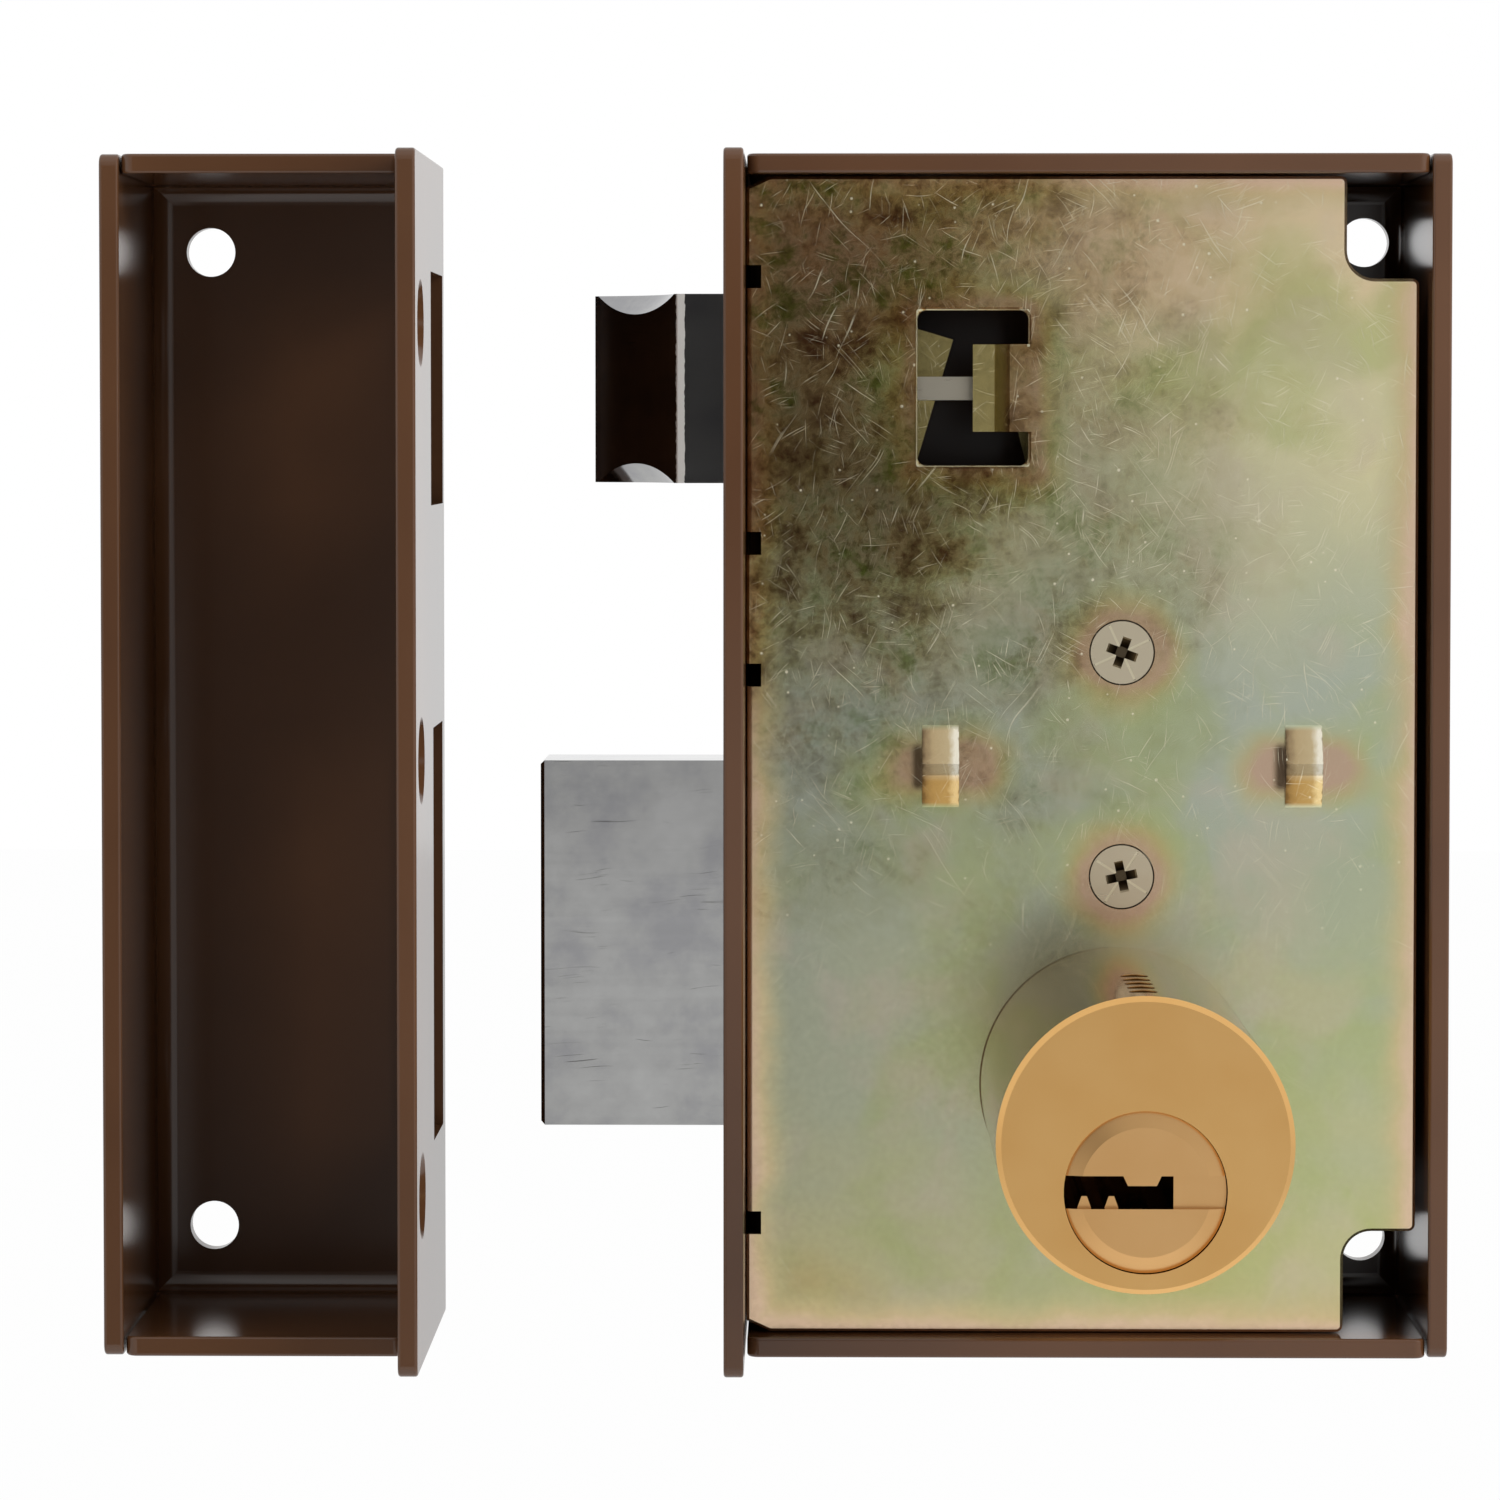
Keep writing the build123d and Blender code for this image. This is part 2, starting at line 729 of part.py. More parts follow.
def clip_groove_cut(shaft_radius, near, x, z):
    """Groove for a retaining clip in a shaft along the depth."""
    far = near + clip_thick + 2 * clip_play
    groove = rod_along_y(shaft_radius + overrun, near, far, x, z)
    return groove - rod_along_y(shaft_radius - clip_groove, near, far, x, z)


def plug_clip():
    bore = plug_neck_diameter / 2 - clip_groove + clip_play
    near = plug_clip_near + clip_play
    return ring(bore, bore + clip_wall, near, near + clip_thick, 0, plug_axis)


def key_pins():
    """Pointed pins that hang in the plug, lifted to the shear line as by the right key."""
    pins = []
    rib_crest = plug_axis + keyway_height / 2 - upper_rib_height
    tip = rib_crest - key_pin_point / 2
    top = plug_axis + plug_radius - key_pin_short
    radius = chamber_diameter / 2
    for depth in chamber_depths():
        shank = upright(radius, tip + key_pin_point, top, depth)
        middle = tip + key_pin_point / 2
        point = Pos(0, depth, middle) * Cone(radius * key_pin_tip_share, radius, key_pin_point)
        pins.append(shank + point)
    return Compound(children=pins)


def driver_pins():
    pins = []
    foot = plug_axis + plug_radius + driver_lift
    for depth in chamber_depths():
        pins.append(upright(chamber_diameter / 2, foot, foot + driver_length, depth))
    return Compound(children=pins)


def chamber_plugs():
    """Brass plugs that close the chambers just under the barrel's surface."""
    plugs = []
    top = barrel_diameter / 2 - chamber_plug_sunk
    for depth in chamber_depths():
        plugs.append(upright(chamber_diameter / 2 + chamber_play, top - chamber_plug_length, top, depth))
    return Compound(children=plugs)


def coil(radius, wire, pitch, turns, sides):
    """Open helical spring along Z from zero, with square-cut ends."""
    path = Helix(pitch, pitch * turns, radius)
    section = Plane(origin=path @ 0, z_dir=path % 0) * RegularPolygon(wire / 2, sides)
    return sweep(section, path, is_frenet=True)


def pin_springs():
    springs = []
    foot = plug_axis + plug_radius + driver_lift + driver_length
    top = barrel_diameter / 2 - chamber_plug_sunk - chamber_plug_length
    free = top - foot - 2 * pin_spring_wire
    radius = chamber_diameter / 2 - pin_spring_wire
    spring = coil(radius, pin_spring_wire, free / pin_spring_turns, pin_spring_turns, 4)
    for depth in chamber_depths():
        springs.append(Pos(0, depth, foot + pin_spring_wire) * spring)
    return Compound(children=springs)


def screw_slot(x, z, head, near, high):
    """Slot for a flat driver across the far side of a screw head."""
    half = recess_width / 2
    return block(x - head, x + head, near + high / 2, near + high, z - half, z + half)


def cylinder_screws():
    """Screws from inside the case through the plate into the barrel."""
    screws = []
    for x in (-barrel_screw_out, barrel_screw_out):
        z = barrel_screw_up
        screw = rod_along_y(barrel_screw_shank / 2, plate_near - barrel_screw_bite, plate_far, x, z)
        screw += rod_along_y(barrel_screw_head / 2, plate_far, plate_far + barrel_screw_head_high, x, z)
        screws.append(screw - screw_slot(x, z, barrel_screw_head, plate_far, barrel_screw_head_high))
    return Compound(children=screws)


def tailpiece():
    """Flat bar that carries the plug's turn to the drive hub."""
    return block(-tail_width / 2, tail_width / 2, neck_end - tail_bite, pinion_near - stop_gap,
                 plug_axis - tail_thick / 2, plug_axis + tail_thick / 2)


def involute(angle):
    return tan(angle) - angle


def pinion_outline():
    """Involute pinion with a tooth upright, drawn in X and Z about its axis."""
    pressure = radians(pressure_angle)
    base = pitch_radius * cos(pressure)
    tip = pitch_radius + pinion_addendum_share * module
    root = pitch_radius - rack_addendum_share * module - root_play
    half_base = (tooth_pitch / 2 - backlash / 2) / 2 / pitch_radius + involute(pressure)
    flank = []
    for step in range(flank_steps + 1):
        radius = base + (tip - base) * step / flank_steps
        slope = sqrt(max(0, (radius / base) ** 2 - 1))
        flank.append((radius, half_base - (slope - atan_of(slope))))
    outline = Circle(root)
    for tooth in range(pinion_teeth):
        middle = pi / 2 + 2 * pi * tooth / pinion_teeth
        right = [(root * root_share, half_base)] + flank
        points = [(r * cos(middle - a), r * sin(middle - a)) for r, a in right]
        points += [(r * cos(middle + a), r * sin(middle + a)) for r, a in reversed(right)]
        outline += make_face(Polyline(*points, close=True))
    return outline


def atan_of(slope):
    """Angle whose tangent is the slope."""
    return asin(slope / sqrt(1 + slope * slope))


def drive_spindle():
    """Hub that takes the tailpiece, pinion that drives the rack, and the shaft to the turn knob."""
    hub_near = neck_end + hub_near_gap
    shaft_end = knob_base_far
    spindle = rod_along_y(hub_diameter / 2, hub_near, pinion_near, 0, plug_axis)
    spindle += slab(Pos(0, plug_axis) * pinion_outline(), pinion_near, pinion_far)
    spindle += rod_along_y(shaft_diameter / 2, pinion_far, shaft_end, 0, plug_axis)
    width = tail_width / 2 + tail_play
    thick = tail_thick / 2 + tail_play
    spindle -= block(-width, width, hub_near, pinion_near, plug_axis - thick, plug_axis + thick)
    spindle -= shaft_flat_waste(knob_near, shaft_end)
    spindle -= clip_groove_cut(shaft_diameter / 2, turn_clip_near, 0, plug_axis)
    bore = knob_screw_shank / 2 + turn_play
    return spindle - rod_along_y(bore, shaft_end - knob_screw_length, shaft_end, 0, plug_axis)


def shaft_flat_waste(near, far):
    """What the flat takes off the shaft, and what it leaves in the knob's bore."""
    low = plug_axis + shaft_flat
    return block(-shaft_diameter, shaft_diameter, near, far, low, plug_axis + shaft_diameter)


def turn_clip():
    bore = shaft_diameter / 2 - clip_groove + clip_play
    near = turn_clip_near + clip_play
    return ring(bore, bore + clip_wall, near, near + clip_thick, 0, plug_axis)


def turn_bush():
    """Flanged bush, pressed through the case face from inside."""
    near = floor_inside - bush_flange_thick
    far = case_depth + bush_proud
    bush = rod_along_y(bush_diameter / 2, near, far, 0, plug_axis)
    bush += rod_along_y(bush_flange / 2, near, floor_inside, 0, plug_axis)
    return bush - rod_along_y(shaft_diameter / 2 + turn_play, near, far, 0, plug_axis)


def turn_knob():
    """Room-side thumb turn: a round base with an upright grip, on the flatted shaft."""
    knob = rod_along_y(knob_diameter / 2, knob_near, knob_base_far, 0, plug_axis)
    knob = fillet(knob.edges().group_by(Axis.Y)[-1], knob_base_edge)
    grip_half = knob_diameter / 2 - grip_edge
    outline = Pos(0, plug_axis) * Rectangle(grip_thick, 2 * grip_half)
    grip = slab(outline, knob_base_far - overrun, grip_far)
    grip = fillet(grip.edges().filter_by(Axis.Y), grip_edge)
    grip = chamfer(grip.faces().sort_by(Axis.Y)[-1].edges(), grip_top_edge)
    knob += grip
    bore = rod_along_y(shaft_diameter / 2, knob_near, knob_base_far, 0, plug_axis)
    knob -= bore - shaft_flat_waste(knob_near, knob_base_far)
    knob -= rod_along_y(knob_screw_shank / 2 + turn_play, knob_base_far, grip_far, 0, plug_axis)
    knob -= rod_along_y(knob_screw_head / 2 + turn_play, grip_far - knob_screw_sunk, grip_far, 0, plug_axis)
    return knob


def knob_screw():
    """Screw down the middle of the grip into the shaft."""
    seat = grip_far - knob_screw_sunk
    end = knob_base_far - knob_screw_length + overrun
    screw = rod_along_y(knob_screw_shank / 2, end, seat, 0, plug_axis)
    screw += rod_along_y(knob_screw_head / 2, seat, seat + knob_screw_head_high, 0, plug_axis)
    return screw - screw_slot(0, plug_axis, knob_screw_head, seat, knob_screw_head_high)


def rack_teeth():
    """Rack under the deadbolt tail, with a gap over the pinion's upright tooth at rest."""
    slope = tan(radians(pressure_angle))
    half_pitch_line = (tooth_pitch / 2 - backlash / 2) / 2
    half_tip = half_pitch_line - (pitch_line - rack_tip) * slope
    half_root = half_pitch_line + (rack_root - pitch_line) * slope
    teeth = Sketch()
    for index in range(pinion_teeth + 2 * rack_teeth_spare):
        x = (rack_teeth_spare - index) * tooth_pitch - tooth_pitch / 2
        points = [
            (x - half_root, rack_root),
            (x - half_tip, rack_tip),
            (x + half_tip, rack_tip),
            (x + half_root, rack_root),
            (x + half_root, rack_root + root_play),
            (x - half_root, rack_root + root_play),
        ]
        teeth += make_face(Polyline(*points, close=True))
    return teeth


def deadbolt_tail():
    """Tail plate: slotted over the lower post, racked along its foot, with an arm up to the latch lever."""
    left = bolt_rear - bolt_tail_bite
    right = post_x + tail_slot_half + bolt_tail_past_post
    top = bolt_top - bolt_tail_top_margin
    body = Pos((left + right) / 2, (rack_root + top) / 2) * Rectangle(right - left, top - rack_root)
    arm_foot = top - overrun
    arm_top = upper_post + arm_above_post
    body += Pos(stud_x, (arm_foot + arm_top) / 2) * Rectangle(arm_width, arm_top - arm_foot)
    body += rack_teeth()
    half = tail_slot_half
    reach = half + stop_gap
    body -= rounded_bar(post_x - bolt_travel - reach, post_x + reach, lower_post - half, lower_post + half,
                        half * slot_end_share)
    for z in bolt_pin_places():
        body -= Pos(bolt_rear - pin_inset, z) * Circle(pin_diameter / 2)
    body -= Pos(stud_x, upper_post + stud_above_post) * Circle(stud_neck / 2)
    return slab(body, bolt_tail_near, bolt_tail_far)


def release_stud():
    """Stud on the tail's arm that meets the latch lever once the deadbolt is drawn back."""
    z = upper_post + stud_above_post
    neck = rod_along_y(stud_neck / 2, bolt_tail_near, bolt_tail_far, stud_x, z)
    return neck + rod_along_y(stud_diameter / 2, bolt_tail_far, lever_far, stud_x, z)


def bolt_pin_places():
    """Heights of the two pins that join the deadbolt to its tail."""
    step = bolt_height * bolt_pin_share
    return (bolt_above_axis - step, bolt_above_axis + step)


def deadbolt():
    """Rectangular bolt with broken edges, slotted behind for its tail."""
    bolt = block(bolt_tip, bolt_rear, bolt_near, bolt_far, bolt_foot, bolt_top)
    bolt = chamfer(bolt.faces().sort_by(Axis.X)[0].edges(), bolt_edge)
    left = bolt_rear - bolt_tail_bite
    top = bolt_top - bolt_tail_top_margin
    bolt -= block(left, bolt_rear, bolt_tail_near, bolt_tail_far, rack_root, top)
    for z in bolt_pin_places():
        bolt -= rod_along_y(pin_diameter / 2, bolt_near, bolt_far, bolt_rear - pin_inset, z)
    return bolt


def deadbolt_pins():
    pins = [rod_along_y(pin_diameter / 2, bolt_near, bolt_far, bolt_rear - pin_inset, z)
            for z in bolt_pin_places()]
    return Compound(children=pins)


def bevel_plane():
    """Plane of the bevel: first axis from ridge to tip, second axis up, third axis out of the latch."""
    along = Vector(-latch_ridge_back, latch_thick - latch_tip_thick, 0).normalized()
    ridge = (latch_tip + latch_ridge_back, latch_near, latch_above_axis)
    return Plane(origin=ridge, x_dir=along, z_dir=Vector(0, 0, 1).cross(along))


def bevel_scallop(length, side):
    """Cone that hollows the upper or the lower end of the bevel, with its axis square to the slope."""
    deep = latch_scallop_deep + overrun
    centre = side * (latch_height / 2 + latch_scallop_radius - latch_scallop_deep)
    cone = Cone(latch_scallop_radius - deep, latch_scallop_radius + deep, 2 * deep)
    return bevel_plane() * Pos(length * latch_scallop_place_share, centre, 0) * cone


def latch_bolt():
    """Bevelled latch head with its two ends scalloped, slotted behind for its tail."""
    bolt = block(latch_tip, latch_rear, latch_near, latch_far, latch_foot, latch_top)
    length = hypot(latch_ridge_back, latch_thick - latch_tip_thick)
    outline = Pos(length / 2, 0) * Rectangle(length + 2 * latch_thick, 2 * latch_height)
    bolt -= extrude(bevel_plane() * outline, latch_thick)
    for side in (-1, 1):
        bolt -= bevel_scallop(length, side)
    bolt -= block(latch_rear - latch_tail_bite, latch_rear, latch_tail_near, latch_tail_far,
                  latch_foot + latch_tail_margin, latch_top - latch_tail_margin)
    for z in latch_pin_places():
        bolt -= rod_along_y(pin_diameter / 2, latch_near, latch_far, latch_rear - pin_inset, z)
    return bolt


def latch_pin_places():
    """Heights of the two pins that join the latch head to its tail."""
    step = latch_height * latch_pin_share
    return (latch_above_axis - step, latch_above_axis + step)


def latch_pins():
    pins = [rod_along_y(pin_diameter / 2, latch_near, latch_far, latch_rear - pin_inset, z)
            for z in latch_pin_places()]
    return Compound(children=pins)


def latch_tail():
    """Plated strip behind the rod, with a lug turned forward for the spring."""
    left = latch_rear - latch_tail_bite
    right = latch_rear + latch_tail_length
    foot = latch_foot + latch_tail_margin
    top = latch_top - latch_tail_margin
    strip = make_face(Polyline(
        (left, foot), (right - latch_tail_foot_taper, foot), (right, top - latch_tail_top_drop),
        (right - latch_tail_top_taper, top), (left, top), close=True))
    lug_left = spring_left - spring_lug_wide
    lug_foot = spring_z - spring_lug_half
    strip += Pos(lug_left, (lug_foot + top) / 2) * Rectangle(2 * spring_lug_wide, top - lug_foot)
    for z in latch_pin_places():
        strip -= Pos(latch_rear - pin_inset, z) * Circle(pin_diameter / 2)
    tail = slab(strip, latch_tail_near, latch_tail_far)
    lug_near = spring_y - spring_lug_half
    lug_top = spring_z + spring_lug_half
    return tail + block(lug_left, spring_left, lug_near, latch_tail_near, lug_foot, lug_top)


def latch_rod():
    """Flat bar on edge, seen through the plate's window, bored for the pull's stem."""
    right = stem_x + stem_diameter / 2 + rod_past_stem
    low = latch_above_axis - rod_thick / 2
    return block(latch_rear, right, rod_near, rod_far, low, low + rod_thick)


def latch_pull():
    """Room-side pull: a waisted bar on a stem that reaches the rod through the lever and the case slot."""
    far = pull_near + pull_thick
    low = latch_above_axis - pull_high / 2
    pull = block(stem_x - pull_wide / 2, stem_x + pull_wide / 2, pull_near, far, low, low + pull_high)
    pull = fillet(pull.edges().filter_by(Axis.Y), pull_edge)
    pull = fillet(pull.faces().sort_by(Axis.Y)[-1].edges(), pull_top_edge)
    stem = rod_along_y(stem_diameter / 2, rod_far, pull_near, stem_x, latch_above_axis)
    return pull + stem


def latch_lever():
    """Lever on the upper post, forked over the pull's stem, so that the key can draw the latch back."""
    reach = lever_length / cos(radians(lever_lean)) + lever_past_stem
    outline = Circle(lever_eye / 2)
    outline += Pos(0, reach / 2) * Rectangle(lever_width, reach)
    slot = stem_diameter / 2 + lever_slot_play
    slot_foot = lever_length - stem_diameter / 2 - lever_slot_play
    outline -= Pos(0, (slot_foot + reach + overrun) / 2) * Rectangle(2 * slot, reach + overrun - slot_foot)
    outline -= Circle(post_diameter / 2 + turn_play)
    placed = Pos(post_x, upper_post) * Rot(0, 0, lever_lean) * outline
    return slab(placed, lever_near, lever_far)


def latch_spring():
    """Compression spring between the tail's lug and the anchor."""
    length = anchor_x - spring_left - 2 * spring_end_gap
    spring = coil((spring_diameter - spring_wire) / 2, spring_wire, length / spring_turns, spring_turns, 5)
    return Pos(spring_left + spring_end_gap, spring_y, spring_z) * Rot(0, 90, 0) * spring


def spring_anchor():
    """Angle on the case face that the spring pushes against."""
    foot = spring_z - anchor_wide / 2
    top = foot + anchor_wide
    wall = block(anchor_x, anchor_x + anchor_sheet, spring_y - spring_lug_half, floor_inside, foot, top)
    right = anchor_x + anchor_sheet
    return wall + block(right - anchor_foot, right, floor_inside - anchor_sheet, floor_inside, foot, top)


def make_all():
    return {
        "case_shell": case_shell(),
        "mechanism_plate": mechanism_plate(),
        "plate_posts": plate_posts(),
        "plate_screws": plate_screws(),
        "cylinder_body": cylinder_body(),
        "cylinder_screws": cylinder_screws(),
        "chamber_plugs": chamber_plugs(),
        "driver_pins": driver_pins(),
        "pin_springs": pin_springs(),
        "turn_bush": turn_bush(),
        "spring_anchor": spring_anchor(),
        "latch_spring": latch_spring(),
        "lever_clip": lever_clip(),
        "strike_box": strike_box(),
        "latch_bolt": latch_bolt(),
        "latch_tail": latch_tail(),
        "latch_rod": latch_rod(),
        "latch_pins": latch_pins(),
        "latch_pull": latch_pull(),
        "latch_lever": latch_lever(),
        "deadbolt": deadbolt(),
        "deadbolt_tail": deadbolt_tail(),
        "deadbolt_pins": deadbolt_pins(),
        "release_stud": release_stud(),
        "cylinder_plug": cylinder_plug(),
        "key_pins": key_pins(),
        "plug_clip": plug_clip(),
        "tailpiece": tailpiece(),
        "drive_spindle": drive_spindle(),
        "turn_clip": turn_clip(),
        "turn_knob": turn_knob(),
        "knob_screw": knob_screw(),
    }


os.makedirs("parts", exist_ok=True)
for name, shape in make_all().items():
    export_step(shape, f"parts/{name}.step")
    print(name, "made")
print("deadbolt travel", round(bolt_travel, 4), "latch travel", latch_travel)
print("lever lean", round(lever_lean, 3))
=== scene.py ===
# %% [markdown]
# # A rim lock, dressed
# The lock arrives as plain grey solids at their real size. This lesson gives each piece the
# finish that it has on the real product: baked enamel on the folded steel, yellow-passivated
# zinc on the plate, turned brass on the cylinder and bright chromium on the two bolts. The
# coiled springs are wound again, finer, as Geometry Nodes. Everything is in metres. X runs
# from the strike to the lock, Y runs into the room and Z is up.

# %% Load the frame
import math

import bpy
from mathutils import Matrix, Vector


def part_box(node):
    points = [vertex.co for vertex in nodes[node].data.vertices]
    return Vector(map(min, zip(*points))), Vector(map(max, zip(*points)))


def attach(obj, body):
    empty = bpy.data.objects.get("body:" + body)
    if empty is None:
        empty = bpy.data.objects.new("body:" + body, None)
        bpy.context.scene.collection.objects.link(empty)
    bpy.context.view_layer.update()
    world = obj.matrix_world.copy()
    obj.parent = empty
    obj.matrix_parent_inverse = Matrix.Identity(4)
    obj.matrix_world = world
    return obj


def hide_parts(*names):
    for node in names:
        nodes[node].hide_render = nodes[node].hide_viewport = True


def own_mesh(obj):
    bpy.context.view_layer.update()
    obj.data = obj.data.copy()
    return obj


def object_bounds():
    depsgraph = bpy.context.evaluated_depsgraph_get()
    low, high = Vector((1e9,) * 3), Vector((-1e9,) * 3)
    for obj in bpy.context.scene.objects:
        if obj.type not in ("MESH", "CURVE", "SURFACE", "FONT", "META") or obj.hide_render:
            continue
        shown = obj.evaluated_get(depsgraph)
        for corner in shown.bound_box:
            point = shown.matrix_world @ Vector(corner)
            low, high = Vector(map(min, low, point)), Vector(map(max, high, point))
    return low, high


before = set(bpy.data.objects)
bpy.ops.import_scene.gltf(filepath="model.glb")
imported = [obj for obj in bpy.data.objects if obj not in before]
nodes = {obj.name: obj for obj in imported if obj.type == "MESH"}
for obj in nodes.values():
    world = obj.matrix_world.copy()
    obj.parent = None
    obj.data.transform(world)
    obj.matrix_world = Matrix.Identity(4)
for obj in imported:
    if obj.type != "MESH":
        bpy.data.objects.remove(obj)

cad_box = [list(corner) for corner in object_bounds()]
mm = 0.001
print("the frame holds", len(nodes), "nodes")

# %% [markdown]
# Colours are read off the object as sRGB hex values, but shaders work in linear light, so one
# function turns the first into the second. Another adds a node: it takes the node's own
# settings, then its inputs by name or by number, and an input that is itself a node or a
# socket becomes a link. Four settings come back so often that they have names: one colour
# covers another or is multiplied into it (a stain or a painted shade), a range is eased at its
# ends, and a noise has a seed.

# %% Colours and nodes
cover = {"data_type": "RGBA"}
# multiplies one colour into another: used for stains and for painted shade alike
multiply_mix = {"data_type": "RGBA", "blend_type": "MULTIPLY"}
eased = {"interpolation_type": "SMOOTHSTEP"}
seeded = {"noise_dimensions": "4D"}


def linear(hex_value):
    """A linear RGBA colour from an sRGB hex value such as "#c0a060"."""
    channels = [int(hex_value[i:i + 2], 16) / 255 for i in (1, 3, 5)]
    curve = [c / 12.92 if c <= 0.04045 else ((c + 0.055) / 1.055) ** 2.4 for c in channels]
    return (*curve, 1)


def live(sockets, name):
    """The socket of that number, or the first one in use that has that name."""
    if isinstance(name, int):
        return sockets[name]
    return next(socket for socket in sockets if socket.enabled and socket.name == name)


def add(tree, kind, settings=None, inputs=None):
    """Adds a node with its settings and inputs. The setting "stops" fills a colour ramp."""
    node = tree.nodes.new(kind)
    for name, value in (settings or {}).items():
        if name == "stops":
            elements = node.color_ramp.elements
            while len(elements) < len(value):
                elements.new(1)
            for element, (place, colour) in zip(elements, value):
                element.position = place
                element.color = linear(colour)
        else:
            setattr(node, name, value)
    for name, value in (inputs or {}).items():
        socket = live(node.inputs, name)
        if isinstance(value, bpy.types.Node):
            value = next(out for out in value.outputs if out.enabled)
        if isinstance(value, bpy.types.NodeSocket):
            tree.links.new(value, socket)
        else:
            socket.default_value = value
    return node


print("white in linear light is", linear("#ffffff"))

# %% [markdown]
# Every finish starts in the same way: an empty material, and the place on the piece in its own
# coordinates, so that a pattern stays on the piece when it moves. A pattern's size is given in
# millimetres, as on a drawing.

# %% Materials
def per(size_mm):
    """Texture scale whose features repeat about once in this many millimetres."""
    return 1 / (size_mm * mm)


def new_material(name):
    """An empty material with its shader, and the place on the piece that patterns are read from."""
    material = bpy.data.materials.new(name)
    material.use_nodes = True
    tree = material.node_tree
    shader = tree.nodes["Principled BSDF"]
    place = add(tree, "ShaderNodeTexCoord").outputs["Object"]
    return material, tree, shader, place


def wear(names, material):
    """Puts a material in every slot of each named piece."""
    for name in names:
        nodes[name].data.materials.clear()
        nodes[name].data.materials.append(material)
    print(material.name, "is on", ", ".join(names))


# %% [markdown]
# The case and the strike are folded from 2 mm steel and stoved in a brown enamel. Enamel is a
# thick glossy paint: it levels out, but never quite, and leaves the faint dimpling called
# orange peel. A soft bump of about a millimetre gives that. Seen along the surface the gloss
# turns to a mirror, which is why the outer face of a flap looks pale grey and not brown.

# %% Brown baked enamel
enamel_tones = ((0.35, "#4c311e"), (0.65, "#543722"))
enamel_cloud_mm = 30
enamel_roughness = 0.17
orange_peel_mm = 1.3
orange_peel_height = 0.0015 * mm


def baked_enamel():
    material, tree, shader, place = new_material("brown baked enamel")
    drift = add(tree, "ShaderNodeTexNoise", {}, {
        "Vector": place, "Scale": per(enamel_cloud_mm), "Detail": 3})
    tone = add(tree, "ShaderNodeValToRGB", {"stops": enamel_tones}, {"Fac": drift})
    peel = add(tree, "ShaderNodeTexNoise", {}, {
        "Vector": place, "Scale": per(orange_peel_mm), "Detail": 2})
    bump = add(tree, "ShaderNodeBump", {}, {
        "Height": peel, "Distance": orange_peel_height, "Strength": 1.0})
    tree.links.new(tone.outputs["Color"], shader.inputs["Base Color"])
    tree.links.new(bump.outputs["Normal"], shader.inputs["Normal"])
    shader.inputs["Roughness"].default_value = enamel_roughness
    return material


wear(("case_shell", "strike_box", "latch_pull", "turn_knob"), baked_enamel())

# %% [markdown]
# Plain zinc is dipped in a chromate bath after plating, and comes out with a thin film that
# shows pink, gold and green where its thickness changes. A slow noise sways a gradient that
# runs up the plate, and green and pink clouds lie over it. The side by the forend is darkened
# by a painted shade.

# %% The film of the chromate bath
in_plane = Vector((1, 0, 1))
plate_low, plate_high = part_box("mechanism_plate")
film_tones = ((0.0, "#d8c684"), (0.08, "#d3cf97"), (0.22, "#c3c8a2"), (0.38, "#bcc4a6"),
              (0.52, "#c2cab6"), (0.68, "#d5d6b2"), (0.82, "#eee6b8"), (0.93, "#f8e0b6"),
              (1.0, "#f6dab4"))
film_drift_mm = 24
film_drift = 0.2
painted_shade_side = "#e2e0ee"
cloud_low = 0.47
cloud_high = 0.66

# Each cloud has its colour, its size in millimetres, its seed and its strength.
film_clouds = (("#bac678", 17, 3.0, 0.5), ("#dccbb4", 13, 8.0, 0.38))
print("the film has", len(film_tones), "tones and", len(film_clouds), "clouds")


def flattened(tree, place):
    """The place with its depth left out, so that distances are measured in the plate's plane."""
    return add(tree, "ShaderNodeVectorMath", {"operation": "MULTIPLY"}, {0: place, 1: in_plane})


def cloud(tree, place, size_mm, seed, strength):
    """A soft-edged cloudy share from nothing to a strength."""
    noise = add(tree, "ShaderNodeTexNoise", seeded, {
        "Vector": place, "W": seed, "Scale": per(size_mm), "Detail": 4, "Distortion": 0.6})
    return add(tree, "ShaderNodeMapRange", eased, {
        "Value": noise, "From Min": cloud_low, "From Max": cloud_high, "To Max": strength})


def slow_film(tree, place):
    """Colour that drifts over centimetres, with its clouds, and a painted shade by the forend."""
    sides = add(tree, "ShaderNodeSeparateXYZ", {}, {0: place}).outputs
    rise = add(tree, "ShaderNodeMapRange", {}, {
        "Value": sides["Z"], "From Min": plate_low.z, "From Max": plate_high.z})
    drift = add(tree, "ShaderNodeTexNoise", {}, {
        "Vector": place, "Scale": per(film_drift_mm), "Detail": 3})
    wander = add(tree, "ShaderNodeMapRange", {}, {
        "Value": drift, "To Min": -film_drift, "To Max": film_drift})
    level = add(tree, "ShaderNodeMath", {"operation": "ADD"}, {0: rise, 1: wander})
    tone = add(tree, "ShaderNodeValToRGB", {"stops": film_tones}, {"Fac": level})
    for colour, size_mm, seed, strength in film_clouds:
        share = cloud(tree, place, size_mm, seed, strength)
        tone = add(tree, "ShaderNodeMix", cover, {
            "Factor": share, "A": tone, "B": linear(colour)})
    # painted shade: the plate is multiplied darker towards the forend side
    across = add(tree, "ShaderNodeMapRange", {}, {
        "Value": sides["X"], "From Min": plate_high.x, "From Max": plate_low.x})
    return add(tree, "ShaderNodeMix", multiply_mix, {
        "Factor": across, "A": tone, "B": linear(painted_shade_side)})


# %% [markdown]
# The bath runs off the plate and clings to whatever stands in its way. So every screw, bridge
# and hole is ringed with rose and then with gold, and the rim of the plate is brighter and
# rosy too. Each place is a box with rounded ends, and the distance outside it picks the tint.

